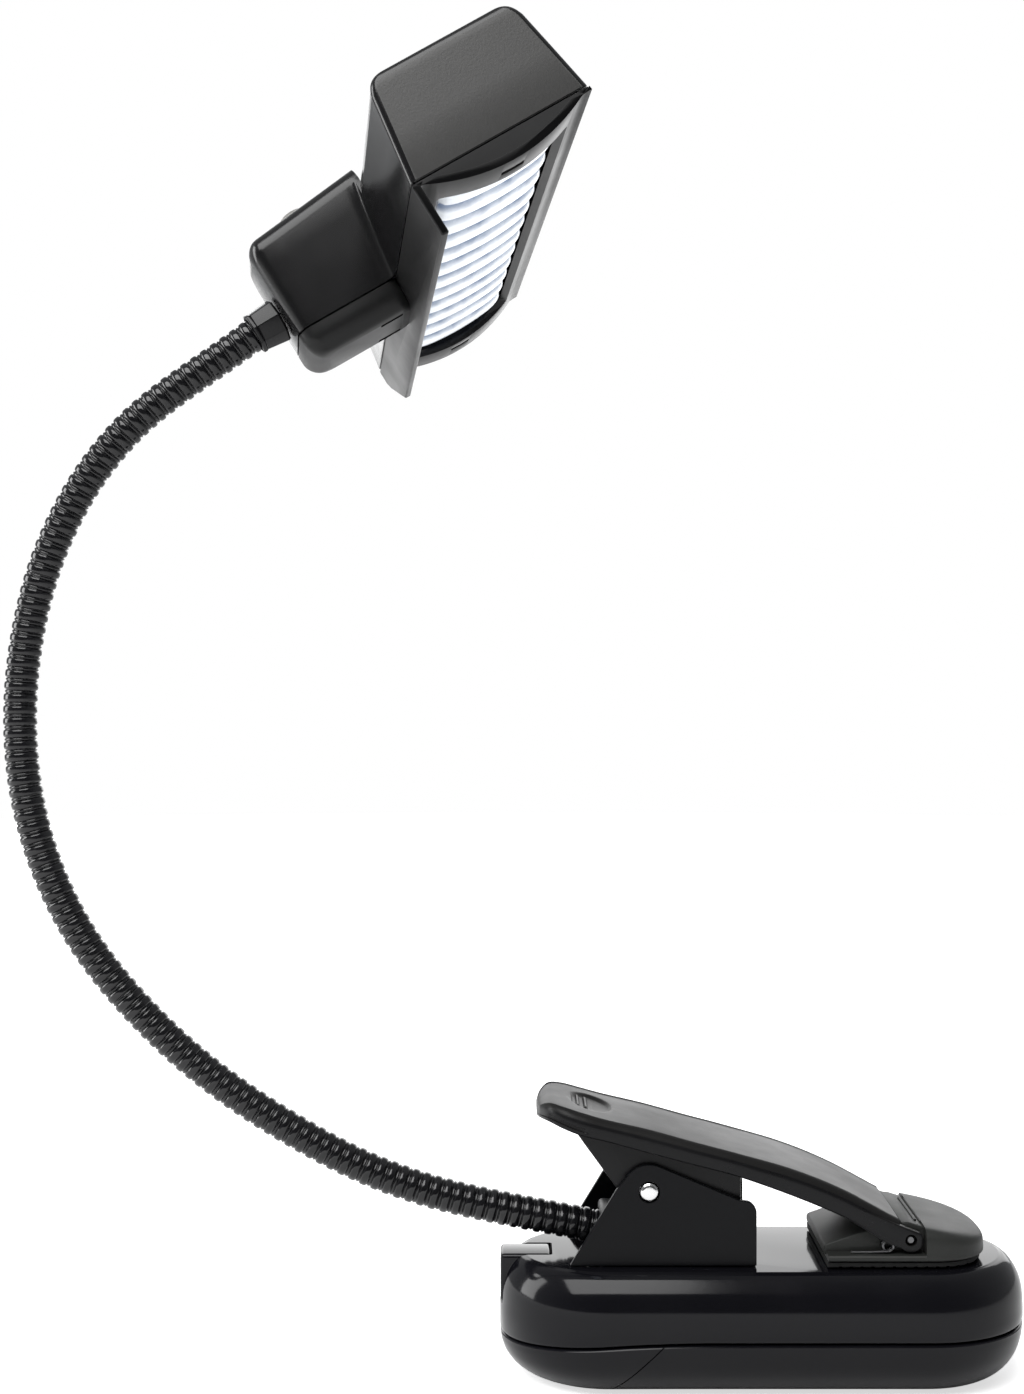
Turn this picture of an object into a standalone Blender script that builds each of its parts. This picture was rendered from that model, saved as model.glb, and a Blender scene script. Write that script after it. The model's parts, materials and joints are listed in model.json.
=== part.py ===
"""A clip-on reading lamp: a battery base with a sprung clip, a bendable neck and a wide light head.

Lengths are in millimetres inside this script and become metres as each mesh is made.
The origin is the centre of the base's underside, +X runs from the neck to the clip's jaw, +Z is up.
"""

import math

import bmesh
import bpy
from mathutils import Matrix, Vector

MM = 0.001
GAP = 0.3
SEAM = 0.15

# Base
BASE_HALF_LENGTH = 50.0
BASE_HALF_WIDTH = 20.5
BASE_HEIGHT = 22.9
PARTING_HEIGHT = 10.8
PARTING_DIP = 2.8
PARTING_FLAT_X = -10.0
SHELL_WALL = 2.0
COVER_SEAM_X = -30.2
STAND_Z = BASE_HEIGHT + GAP
INLET_HALF = 4.0
INLET_BACK = -40.3
CASE_SCREW_X = -36.0
CASE_SCREW_YS = (-7.0, 7.0)

# Batteries
CELL_RADIUS = 5.1
CELL_PITCH = 10.55
CELL_LENGTH = 43.5
CELL_START_X = -10.0
CELL_HEIGHT = 7.4
TRAY_ROOF = 13.0

# Clip
EAR_OUTER = 13.0
EAR_THICKNESS = 1.2
PIVOT_X, PIVOT_Z = -22.1, 36.9
PIVOT_RADIUS = 1.65
LEVER_HALF_WIDTH = 14.0
LEVER_WALL = 1.6
WEB_OUTER = 11.4
JAW_PIN_X, JAW_PIN_Z = 26.5, 28.2
JAW_PIN_RADIUS = 0.8
JAW_HALF_WIDTH = 15.2
RIDGE_HALF_WIDTH = 11.7
JAW_FLANGE_Z = 25.6
JAW_NOSE_CENTRE_X = 29.5
JAW_NOSE_REACH = 12.6
JAW_NOSE_POWER = 0.78
DOME_X = 29.2
DOME_RISE = 5.0
DOME_SLOPE = 0.2
SPRING_RADIUS = 3.2
SPRING_WIRE = 0.55
SPRING_HALF_SPAN = 8.6
SPRING_HALF_TURN = 1407.5
SPRING_MIDDLE_GAP = 0.75
SCREW_X = -8.0
SCREW_YS = (-6.5, 6.5)

# Neck: the centreline from the base to the head, as x, y, z
NECK_ROUTE = (
    (-28.5, 0.0, 26.6),
    (-65.4, 0.0, 34.6),
    (-90.6, 0.0, 46.2),
    (-113.0, 0.0, 62.5),
    (-130.8, 0.0, 83.4),
    (-140.4, 0.0, 107.0),
    (-141.9, 0.0, 133.0),
    (-135.5, -0.8, 158.8),
    (-121.3, -2.0, 180.1),
    (-97.1, -1.0, 198.6),
)
NECK_RADIUS = 3.25
NECK_SEGMENTS = 6
NECK_JOINT_GAP = 0.45
NECK_END_GAP = 0.9
NECK_BORE = 1.05
WIRE_RADIUS = 0.7

# Head: across (w), along (l) and towards the light (f), measured from the seam's centre
HEAD_CENTRE = (-55.84, 5.65, 216.55)
HEAD_ACROSS = (0.8435, 0.155, 0.5138)
HEAD_LIGHT = (0.5262, -0.0528, -0.8487)
HEAD_HALF_LENGTH = 60.0
HEAD_HALF_FRONT = 17.7
HEAD_HALF_BACK = 14.5
HEAD_DEPTH = 20.0
HEAD_WALL = 1.8
ARCH_RISE = 4.8
VISOR_REACH = 10.0
WINDOW_HALF_WIDTH = 13.0
WINDOW_HALF_LENGTH = 51.0
NECK_AXIS_F = -6.2
HOUSING_LENGTH = 21.4
HOUSING_HALF_DEPTH = 9.5
HOUSING_FRONT_F = 6.0
HOUSING_BACK_F = -19.9
HOUSING_SLOPE = 0.13
BUTTON_RADIUS = 3.6
BUTTON_TOP_F = -23.4
BUTTON_FOOT_F = -16.3
BUTTON_FROM_END = 12.4
COLLAR_LENGTH = 5.9
COLLAR_RADIUS = 4.4
LED_COUNT = 10
LED_PITCH = 9.4

FINISHES = {
    "gloss_black": ((0.012, 0.012, 0.014, 1), 0.12, 0.0),
    "satin_black": ((0.03, 0.03, 0.031, 1), 0.38, 0.0),
    "matte_black": ((0.07, 0.07, 0.068, 1), 0.55, 0.0),
    "rubber": ((0.02, 0.02, 0.02, 1), 0.8, 0.0),
    "steel": ((0.72, 0.72, 0.72, 1), 0.25, 1.0),
    "lens": ((0.85, 0.88, 0.92, 1), 0.12, 0.0),
    "white_plastic": ((0.85, 0.85, 0.85, 1), 0.35, 0.0),
    "board": ((0.1, 0.3, 0.15, 1), 0.5, 0.0),
    "cell_wrap": ((0.15, 0.2, 0.3, 1), 0.35, 0.2),
    "copper": ((0.8, 0.45, 0.25, 1), 0.35, 1.0),
}


# ---------------------------------------------------------------- making objects


def material(name):
    """The named Principled material, made once."""
    found = bpy.data.materials.get(name)
    if found:
        return found
    colour, roughness, metallic = FINISHES[name]
    made = bpy.data.materials.new(name)
    made.use_nodes = True
    shader = made.node_tree.nodes["Principled BSDF"]
    shader.inputs["Base Color"].default_value = colour
    shader.inputs["Roughness"].default_value = roughness
    shader.inputs["Metallic"].default_value = metallic
    made.diffuse_color = colour
    return made


def axis_empty(name, position):
    """An empty on a joint's axis, which the pieces that move there are parented to."""
    empty = bpy.data.objects.new(name, None)
    empty.location = Vector(position) * MM
    empty.empty_display_size = 0.01
    bpy.context.collection.objects.link(empty)
    return empty


def make(name, mesh, finish, parent=None, place=None):
    """Turns a bmesh in millimetres into a named object, and frees it."""
    bmesh.ops.recalc_face_normals(mesh, faces=mesh.faces)
    bmesh.ops.scale(mesh, vec=(MM, MM, MM), verts=mesh.verts)
    data = bpy.data.meshes.new(name)
    mesh.to_mesh(data)
    mesh.free()
    data.shade_smooth()
    data.set_sharp_from_angle(angle=math.radians(35))
    data.materials.append(material(finish))
    obj = bpy.data.objects.new(name, data)
    bpy.context.collection.objects.link(obj)
    if place is not None:
        obj.matrix_world = place
    if parent is not None:
        bpy.context.view_layer.update()
        obj.parent = parent
        obj.matrix_parent_inverse = parent.matrix_world.inverted()
    return obj


def boolean(obj, helper_mesh, operation):
    """Adds a Boolean with a hidden helper, which shares the object's placement."""
    helper = make(obj.name + "_helper", helper_mesh, "rubber", place=obj.matrix_world.copy())
    helper.hide_render = True
    helper.display_type = "WIRE"
    modifier = obj.modifiers.new(operation.title(), "BOOLEAN")
    modifier.operation = operation
    modifier.object = helper
    modifier.solver = "EXACT"


# ---------------------------------------------------------------- shapes


def loft(rings, closed=False):
    """A mesh through equal rings of points; the ends are capped unless the loft closes on itself."""
    mesh = bmesh.new()
    rows = [[mesh.verts.new(point) for point in ring] for ring in rings]
    count = len(rows[0])
    pairs = list(zip(rows, rows[1:]))
    if closed:
        pairs.append((rows[-1], rows[0]))
    for lower, upper in pairs:
        for i in range(count):
            j = (i + 1) % count
            mesh.faces.new((lower[i], lower[j], upper[j], upper[i]))
    if not closed:
        mesh.faces.new(rows[0][::-1])
        mesh.faces.new(rows[-1])
    return mesh


def box(low, high):
    """A box between two corners."""
    (x0, y0, z0), (x1, y1, z1) = low, high
    ring = ((x0, y0), (x1, y0), (x1, y1), (x0, y1))
    return loft([[(x, y, z) for x, y in ring] for z in (z0, z1)])


def prism(outline, low_y, high_y):
    """An outline of x, z points drawn out along Y."""
    return loft([[(x, y, z) for x, z in outline] for y in (low_y, high_y)])


def turned(start, end, profile, sides=16):
    """A solid turned about the line from start to end; the profile holds (share of the way, radius)."""
    start, end = Vector(start), Vector(end)
    side = (end - start).orthogonal().normalized()
    other = (end - start).normalized().cross(side)
    rings = []
    for share, radius in profile:
        centre = start.lerp(end, share)
        turns = (2 * math.pi * i / sides for i in range(sides))
        rings.append([centre + radius * (math.cos(t) * side + math.sin(t) * other) for t in turns])
    return loft(rings)


def rod(start, end, radius, sides=16):
    """A plain round rod."""
    return turned(start, end, ((0, radius), (1, radius)), sides)


def merge(*meshes):
    """Several bmeshes as one, with the later ones freed."""
    first = meshes[0]
    for other in meshes[1:]:
        data = bpy.data.meshes.new("merging")
        other.to_mesh(data)
        other.free()
        first.from_mesh(data)
        bpy.data.meshes.remove(data)
    return first


def arc(centre, radius, start, stop, steps):
    """Points on an arc, with angles in degrees from +X towards +Z."""
    angles = (math.radians(start + (stop - start) * i / steps) for i in range(steps + 1))
    return [(centre[0] + radius * math.cos(a), centre[1] + radius * math.sin(a)) for a in angles]


def smooth_route(knots, steps):
    """Points on a Catmull-Rom curve through the knots."""
    knots = [Vector(knot) for knot in knots]
    ends = [2 * knots[0] - knots[1], *knots, 2 * knots[-1] - knots[-2]]
    points = []
    for a, b, c, d in zip(ends, ends[1:], ends[2:], ends[3:]):
        for i in range(steps):
            t = i / steps
            lift = 2 * b + (c - a) * t + (2 * a - 5 * b + 4 * c - d) * t**2
            points.append(0.5 * (lift + (3 * b - a - 3 * c + d) * t**3))
    return points + [knots[-1]]


def along(points, distance):
    """The position and direction at a distance along a polyline."""
    for a, b in zip(points, points[1:]):
        step = (b - a).length
        if distance <= step or b is points[-1]:
            return a + (b - a) * (distance / step), (b - a).normalized()
        distance -= step


def swept(stations, sides, bore=0.0):
    """A round bar through (centre, direction, radius) stations; a bore makes it a tube."""
    up = Vector((0, 1, 0))
    outer, inner = [], []
    for centre, direction, radius in stations:
        side = direction.cross(up).normalized()
        other = side.cross(direction).normalized()
        spokes = []
        for i in range(sides):
            angle = 2 * math.pi * i / sides
            spokes.append(math.cos(angle) * side + math.sin(angle) * other)
        outer.append([centre + radius * spoke for spoke in spokes])
        inner.append([centre + bore * spoke for spoke in spokes])
    if bore:
        return loft(outer + inner[::-1], closed=True)
    return loft(outer)


def wire(points, radius, sides=5):
    """A round wire through points; its section turns with the path, so it suits a coil."""
    points = [Vector(point) for point in points]
    rings, side = [], None
    for i, point in enumerate(points):
        direction = (points[min(i + 1, len(points) - 1)] - points[max(i - 1, 0)]).normalized()
        side = direction.orthogonal() if side is None else side - direction * side.dot(direction)
        side.normalize()
        other = direction.cross(side)
        turns = (2 * math.pi * k / sides for k in range(sides))
        rings.append([point + radius * (math.cos(t) * side + math.sin(t) * other) for t in turns])
    return loft(rings)


# ---------------------------------------------------------------- base


def parting(x):
    """Height of the seam between the base's shells; it dips towards the neck's end."""
    share = max(0.0, PARTING_FLAT_X - x) / (BASE_HALF_LENGTH + PARTING_FLAT_X)
    return PARTING_HEIGHT - PARTING_DIP * share**2


def pill(inset, height, shift=0.0, steps=10):
    """A pill-shaped ring; height is a number, or a share of the parting height as a string."""
    radius = BASE_HALF_WIDTH - inset
    straight = BASE_HALF_LENGTH - BASE_HALF_WIDTH
    ring = arc((straight, 0), radius, -90, 90, steps) + arc((-straight, 0), radius, 90, 270, steps)
    if isinstance(height, str):
        return [(x, y, parting(x) * float(height) + shift) for x, y in ring]
    return [(x, y, height) for x, y in ring]


def cup(outside, inside):
    """A cup through the outside rings, from lip to floor, then the inside rings, back to the lip."""
    mesh = loft(outside + inside)
    lips = [face for face in mesh.faces if len(face.verts) == len(outside[0])]
    bmesh.ops.delete(mesh, geom=lips, context="FACES_ONLY")
    mesh.verts.ensure_lookup_table()
    count = len(outside[0])
    total = len(outside) + len(inside)
    last = [mesh.verts[(total - 1) * count + i] for i in range(count)]
    for i in range(count):
        j = (i + 1) % count
        mesh.faces.new((last[i], last[j], mesh.verts[j], mesh.verts[i]))
    floor = len(outside)
    joint = [mesh.verts[(floor - 1) * count + i] for i in range(2 * count)]
    between = [face for face in mesh.faces if all(vert in joint for vert in face.verts)]
    bmesh.ops.delete(mesh, geom=between, context="FACES_ONLY")
    mesh.faces.new(joint[:count])
    mesh.faces.new(joint[count:][::-1])
    return mesh


def base_top_shell():
    outside = [pill(0.1, "1", SEAM), pill(0, 13), pill(0.2, 16.5), pill(0.9, 19.2), pill(2.2, 21.4)]
    outside += [pill(3.4, 22.5), pill(4.6, BASE_HEIGHT)]
    inside = [pill(5.5, 20.9), pill(SHELL_WALL, 18.5), pill(SHELL_WALL, "1", SEAM)]
    shell = make("base_top_shell", cup(outside, inside), "gloss_black")
    notch = box((-51, -INLET_HALF - GAP, 13.5), (INLET_BACK + GAP, INLET_HALF + GAP, 24))
    boolean(shell, notch, "DIFFERENCE")
    holes = merge(*[rod((SCREW_X, y, 18), (SCREW_X, y, 25), 1.3, 10) for y in SCREW_YS])
    boolean(shell, holes, "DIFFERENCE")


def lower_tray():
    """The base's rounded lower half, before it is split into the fixed shell and the cover."""
    outside = [pill(0.1, "1", -SEAM), pill(0.3, "0.78"), pill(1.0, "0.55"), pill(2.3, "0.34")]
    outside += [pill(4.2, "0.17"), pill(6.4, "0.06"), pill(8.8, 0.0)]
    inside = [pill(10.5, 1.6), pill(4.6, 3.0), pill(2.6, "0.62"), pill(SHELL_WALL, "1", -SEAM)]
    return cup(outside, inside)


def seam_side(left):
    """The space on one side of the slanted seam between the lower shell and the battery cover."""
    far = -60 if left else 60
    near = -SEAM if left else SEAM
    low, high = COVER_SEAM_X - 2 + near, COVER_SEAM_X + 16 + near
    return prism(((far, -2), (low, -2), (high, 16), (far, 16)), -30, 30)


def base_bottom(cover_axis):
    bottom = make("base_bottom_shell", lower_tray(), "gloss_black")
    boolean(bottom, seam_side(left=True), "INTERSECT")
    holes = merge(*[rod((CASE_SCREW_X, y, -1), (CASE_SCREW_X, y, 4), 1.9, 10) for y in CASE_SCREW_YS])
    boolean(bottom, holes, "DIFFERENCE")
    cover = make("battery_cover", lower_tray(), "gloss_black", cover_axis)
    boolean(cover, seam_side(left=False), "INTERSECT")
    for i, y in enumerate(CASE_SCREW_YS):
        profile = ((0, 1.6), (0.25, 1.6), (0.26, 1.0), (1, 1.0))
        screw = turned((CASE_SCREW_X, y, 0.6), (CASE_SCREW_X, y, 8), profile, 10)
        make(f"case_screw_{i + 1}", screw, "steel")


def power_inlet():
    block = box((-49.9, -INLET_HALF, 13.8), (INLET_BACK, INLET_HALF, BASE_HEIGHT))
    inlet = make("power_inlet", block, "matte_black")
    boolean(inlet, rod((-52, 0, 18), (-43, 0, 18), 1.9, 12), "DIFFERENCE")


def battery_bay():
    roof = box((-14.6, -15.5, TRAY_ROOF), (36.4, 15.5, TRAY_ROOF + 1))
    tray = make("battery_tray", roof, "matte_black")
    left = box((-14.6, -14.4, 5.0), (-13.6, 14.4, TRAY_ROOF + 0.5))
    right = box((35.4, -14.4, 5.0), (36.4, 14.4, TRAY_ROOF + 0.5))
    boolean(tray, merge(left, right), "UNION")
    make("contact_plate_left", box((-13.3, -14, 5.0), (-13.0, 14, 11.5)), "steel")
    make("contact_plate_right", box((34.8, -14, 5.0), (35.1, 14, 11.5)), "steel")
    for i in range(3):
        y = (i - 1) * CELL_PITCH
        start, end = (CELL_START_X, y, CELL_HEIGHT), (CELL_START_X + CELL_LENGTH + 1, y, CELL_HEIGHT)
        body = CELL_LENGTH / (CELL_LENGTH + 1)
        profile = ((0, CELL_RADIUS - 0.5), (0.012, CELL_RADIUS), (body - 0.012, CELL_RADIUS))
        profile += ((body, CELL_RADIUS - 0.5), (body + 0.001, 2.6), (1, 2.6))
        make(f"battery_{i + 1}", turned(start, end, profile, 16), "cell_wrap")
        turns, steps = 2.5, 9
        coil = []
        for k in range(int(turns * steps) + 1):
            share = k / (turns * steps)
            angle, radius = 2 * math.pi * k / steps, 3.6 - 1.6 * share
            x = -12.35 + 1.75 * share
            coil.append((x, y + radius * math.cos(angle), CELL_HEIGHT + radius * math.sin(angle)))
        make(f"battery_spring_{i + 1}", wire(coil, 0.3), "steel")


# ---------------------------------------------------------------- clip


def clip_bracket():
    outline = [(-36.9, STAND_Z), (-28.2, 37.4), *arc((PIVOT_X, PIVOT_Z), 5.1, 155, 70, 5)[1:]]
    outline += [(-5.3, 35.4), *arc((-4.4, 33.0), 2.3, 70, 0, 3), (-2.1, STAND_Z)]
    near = prism(outline, -EAR_OUTER, -EAR_OUTER + EAR_THICKNESS)
    bracket = make("clip_bracket", near, "satin_black")
    far = prism(outline, EAR_OUTER - EAR_THICKNESS, EAR_OUTER)
    floor = box((-14, -EAR_OUTER + 0.5, STAND_Z), (-2.1, EAR_OUTER - 0.5, STAND_Z + 1))
    boolean(bracket, far, "UNION")
    boolean(bracket, floor, "UNION")
    pivot = rod((PIVOT_X, -20, PIVOT_Z), (PIVOT_X, 20, PIVOT_Z), PIVOT_RADIUS + GAP, 16)
    boolean(bracket, pivot, "DIFFERENCE")
    screw_holes = merge(*[rod((SCREW_X, y, 22), (SCREW_X, y, 26), 1.3, 10) for y in SCREW_YS])
    boolean(bracket, screw_holes, "DIFFERENCE")
    reach = EAR_OUTER + 0.2
    pin = rod((PIVOT_X, -reach, PIVOT_Z), (PIVOT_X, reach, PIVOT_Z), PIVOT_RADIUS, 16)
    make("pivot_pin", pin, "steel")
    for i, y in enumerate(SCREW_YS):
        profile = ((0, 1.0), (0.82, 1.0), (0.821, 2.2), (0.95, 2.1), (1, 1.4))
        screw = turned((SCREW_X, y, 18), (SCREW_X, y, 26), profile, 10)
        make(f"bracket_screw_{i + 1}", screw, "steel")


def lever_section(x, half_width, top, skirt, roof):
    """One cross-section of the lever: a shallow channel that opens downwards."""
    w, inner = half_width, half_width - LEVER_WALL
    points = [(-w, top - skirt), (-w, top - 0.9), (-w + 0.9, top), (w - 0.9, top), (w, top - 0.9)]
    points += [(w, top - skirt), (inner, top - skirt), (inner, top - roof)]
    points += [(-inner, top - roof), (-inner, top - skirt)]
    return [(x, y, z) for y, z in points]


def clip_lever(lever_axis):
    stations = (
        (-43.0, 4.6, 50.6, 1.2, 1.0),
        (-42.3, 7.8, 52.0, 2.3, 2.1),
        (-40.6, 11.2, 53.0, 3.4, 3.2),
        (-38.0, 13.2, 52.6, 3.9, 1.8),
        (-34.5, 13.9, 51.6, 4.1, LEVER_WALL),
        (-29.8, LEVER_HALF_WIDTH, 50.3, 3.9, LEVER_WALL),
        (-22.0, LEVER_HALF_WIDTH, 48.5, 4.2, LEVER_WALL),
        (-14.0, LEVER_HALF_WIDTH, 46.3, 4.1, LEVER_WALL),
        (-5.3, LEVER_HALF_WIDTH, 44.0, 4.1, LEVER_WALL),
        (5.1, LEVER_HALF_WIDTH, 41.0, 4.8, LEVER_WALL),
        (14.5, LEVER_HALF_WIDTH, 37.2, 4.9, LEVER_WALL),
        (24.5, LEVER_HALF_WIDTH, 31.9, 4.3, LEVER_WALL),
    )
    plate = loft([lever_section(*station) for station in stations])
    lever = make("clip_lever", plate, "satin_black", lever_axis)
    web = [(-35.6, 50.4), (-35.6, 46.4), (-27.6, 36.6), *arc((PIVOT_X, PIVOT_Z), 4.2, 195, 270, 4)]
    web += [(-4.9, 33.5), (-4.9, 42.8), (-14.0, 45.4), (-29.8, 49.3)]
    lug = [(14.0, 32.6), (22.5, 27.4), *arc((JAW_PIN_X, JAW_PIN_Z), 2.3, 220, 395, 7)]
    lug += [(24.0, 31.2), (14.0, 35.4)]
    lug_outer, lug_inner = LEVER_HALF_WIDTH - 0.05, LEVER_HALF_WIDTH - LEVER_WALL
    for y in (-1, 1):
        boolean(lever, prism(web, y * WEB_OUTER, y * (WEB_OUTER - LEVER_WALL)), "UNION")
        boolean(lever, prism(lug, y * lug_outer, y * lug_inner), "UNION")
    for x, z, radius in ((PIVOT_X, PIVOT_Z, PIVOT_RADIUS), (JAW_PIN_X, JAW_PIN_Z, JAW_PIN_RADIUS)):
        boolean(lever, rod((x, -20, z), (x, 20, z), radius + GAP, 14), "DIFFERENCE")


def torsion_spring(lever_axis):
    """The clip's spring, split at its middle: one half pushes on the base, the other on the lever."""
    steps = 40
    halves = (
        ("clip_spring_base_leg", -1, (-33.2, STAND_Z + 1.0), 150, -1, None),
        ("clip_spring_lever_leg", 1, (-34.5, 47.6), 215, 1, lever_axis),
    )
    for name, side, foot, first, turn, parent in halves:
        points = [(foot[0], side * SPRING_HALF_SPAN, foot[1])]
        for k in range(steps + 1):
            angle = math.radians(first + turn * SPRING_HALF_TURN * k / steps)
            y = side * (SPRING_HALF_SPAN - (SPRING_HALF_SPAN - SPRING_MIDDLE_GAP) * k / steps)
            x, z = PIVOT_X + SPRING_RADIUS * math.cos(angle), PIVOT_Z + SPRING_RADIUS * math.sin(angle)
            points.append((x, y, z))
        make(name, wire(points, SPRING_WIRE), "steel", parent)


def jaw_ring(inset, height, start_x=11.0):
    """A ring with a straight left edge and a rounded right end."""
    w, reach = JAW_HALF_WIDTH - inset, JAW_NOSE_REACH - inset
    nose = []
    for a in angle_steps(0, math.pi, 12):
        out, side = math.sin(a) ** JAW_NOSE_POWER, abs(math.cos(a)) ** JAW_NOSE_POWER
        nose.append((JAW_NOSE_CENTRE_X + reach * out, math.copysign(w * side, -math.cos(a))))
    ring = [(start_x, -w), *nose, (start_x, w)]
    return [(x, y, height(x) if callable(height) else height) for x, y in ring]


def angle_steps(start, stop, steps):
    return [start + (stop - start) * i / steps for i in range(steps + 1)]


def clip_jaw(jaw_axis):
    low, flange = STAND_Z + 1.3, JAW_FLANGE_Z
    plate = loft([jaw_ring(0.2, low), jaw_ring(0, low + 0.3), jaw_ring(0, flange)])
    jaw = make("jaw", plate, "matte_black", jaw_axis)
    ridge = [(10.5, flange - 1), (10.5, 26.8), (19, 29.8), (21.5, 29.4), (24.9, 28.9), (25.0, 31.2)]
    ridge += [(26.5, 31.0), (32, 29.3), (32, flange - 1)]
    boolean(jaw, prism(ridge, -RIDGE_HALF_WIDTH, RIDGE_HALF_WIDTH), "UNION")

    def dome(share):
        return lambda x: flange + share * (DOME_RISE - DOME_SLOPE * (x - DOME_X))

    rings = [jaw_ring(0.02, flange - 0.8, DOME_X), jaw_ring(0.05, dome(0.35), DOME_X)]
    rings += [jaw_ring(0.6, dome(0.65), DOME_X), jaw_ring(1.8, dome(0.87), DOME_X)]
    rings += [jaw_ring(3.6, dome(1.0), DOME_X)]
    boolean(jaw, loft(rings), "UNION")
    pin_hole = rod((JAW_PIN_X, -20, JAW_PIN_Z), (JAW_PIN_X, 20, JAW_PIN_Z), JAW_PIN_RADIUS + GAP, 14)
    boolean(jaw, pin_hole, "DIFFERENCE")
    pin = rod((JAW_PIN_X, -13.6, JAW_PIN_Z), (JAW_PIN_X, 13.6, JAW_PIN_Z), JAW_PIN_RADIUS, 12)
    make("jaw_pin", pin, "steel", jaw_axis)
    pad = loft([jaw_ring(0.9, STAND_Z), jaw_ring(0.7, STAND_Z + 0.3), jaw_ring(0.7, low - GAP)])
    make("jaw_pad", pad, "rubber", jaw_axis)


# ---------------------------------------------------------------- neck


def neck_stations(route, start, stop):
    """The tube between two distances along the route, with tapered ends that leave room to bend."""
    profile = ((0.0, 1.9), (1.9, NECK_RADIUS))
    inner = [(start + d, r) for d, r in profile]
    steps = max(1, round((stop - start) / 9))
    inner += [(start + (stop - start) * i / steps, NECK_RADIUS) for i in range(1, steps)]
    inner += [(stop - d, r) for d, r in reversed(profile)]
    return [(*along(route, d), r) for d, r in inner]


def neck():
    route = smooth_route(NECK_ROUTE, 8)
    total = sum((b - a).length for a, b in zip(route, route[1:]))
    length = total / NECK_SEGMENTS
    joints = [along(route, length * i)[0] for i in range(1, NECK_SEGMENTS)]
    axes = [axis_empty(f"neck_joint_{i + 1}", point) for i, point in enumerate(joints)]
    for earlier, later in zip(axes, axes[1:]):
        bpy.context.view_layer.update()
        later.parent = earlier
        later.matrix_parent_inverse = earlier.matrix_world.inverted()
    for i in range(NECK_SEGMENTS):
        start = length * i + (NECK_JOINT_GAP if i else 0)
        stop = length * (i + 1) - (NECK_JOINT_GAP if i < NECK_SEGMENTS - 1 else NECK_END_GAP)
        parent = axes[i - 1] if i else None
        tube = swept(neck_stations(route, start, stop), 12, NECK_BORE)
        make(f"gooseneck_{i + 1}", tube, "gloss_black", parent)
        steps = 4
        core = [along(route, start + (stop - start) * k / steps) for k in range(steps + 1)]
        core = swept([(centre, direction, WIRE_RADIUS) for centre, direction in core], 6)
        make(f"neck_wire_{i + 1}", core, "copper", parent)
    block = box((-31, -5.6, STAND_Z), (-17, 5.6, 31.4))
    ferrule = make("neck_ferrule", block, "matte_black")
    start, direction = along(route, 0)
    bore = rod(start - direction * GAP, start + direction * 8, NECK_RADIUS + GAP, 16)
    boolean(ferrule, bore, "DIFFERENCE")
    return axes[-1]


# ---------------------------------------------------------------- head


def head_frame():
    """The head's placement: its X runs along (l), its Y across (w) and its Z towards the light (f)."""
    across = Vector(HEAD_ACROSS).normalized()
    light = (Vector(HEAD_LIGHT) - across * across.dot(Vector(HEAD_LIGHT))).normalized()
    lengthwise = across.cross(light)
    turn = Matrix((lengthwise, across, light)).transposed()
    return Matrix.Translation(Vector(HEAD_CENTRE) * MM) @ turn.to_4x4()


def plate_ring(half_l, low_w, high_w, f, corner=1.4, steps=2):
    """A rectangle with rounded corners in the head's l, w plane."""
    ring = []
    corners = ((half_l, high_w, 0), (-half_l, high_w, 90), (-half_l, low_w, 180), (half_l, low_w, 270))
    for l, w, start in corners:
        centre = (l - math.copysign(corner, l), w - math.copysign(corner, w - (low_w + high_w) / 2))
        ring += arc(centre, corner, start, start + 90, steps)
    return [(l, w, f) for l, w in ring]


def side_at(f):
    """Half the head's width at a depth behind the seam."""
    return HEAD_HALF_FRONT + (HEAD_HALF_BACK - HEAD_HALF_FRONT) * (-f / HEAD_DEPTH)


def even_ring(inset_l, inset_w, f, corner=1.4):
    w = side_at(f) - inset_w
    return plate_ring(HEAD_HALF_LENGTH - inset_l, -w, w, f, corner)


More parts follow.
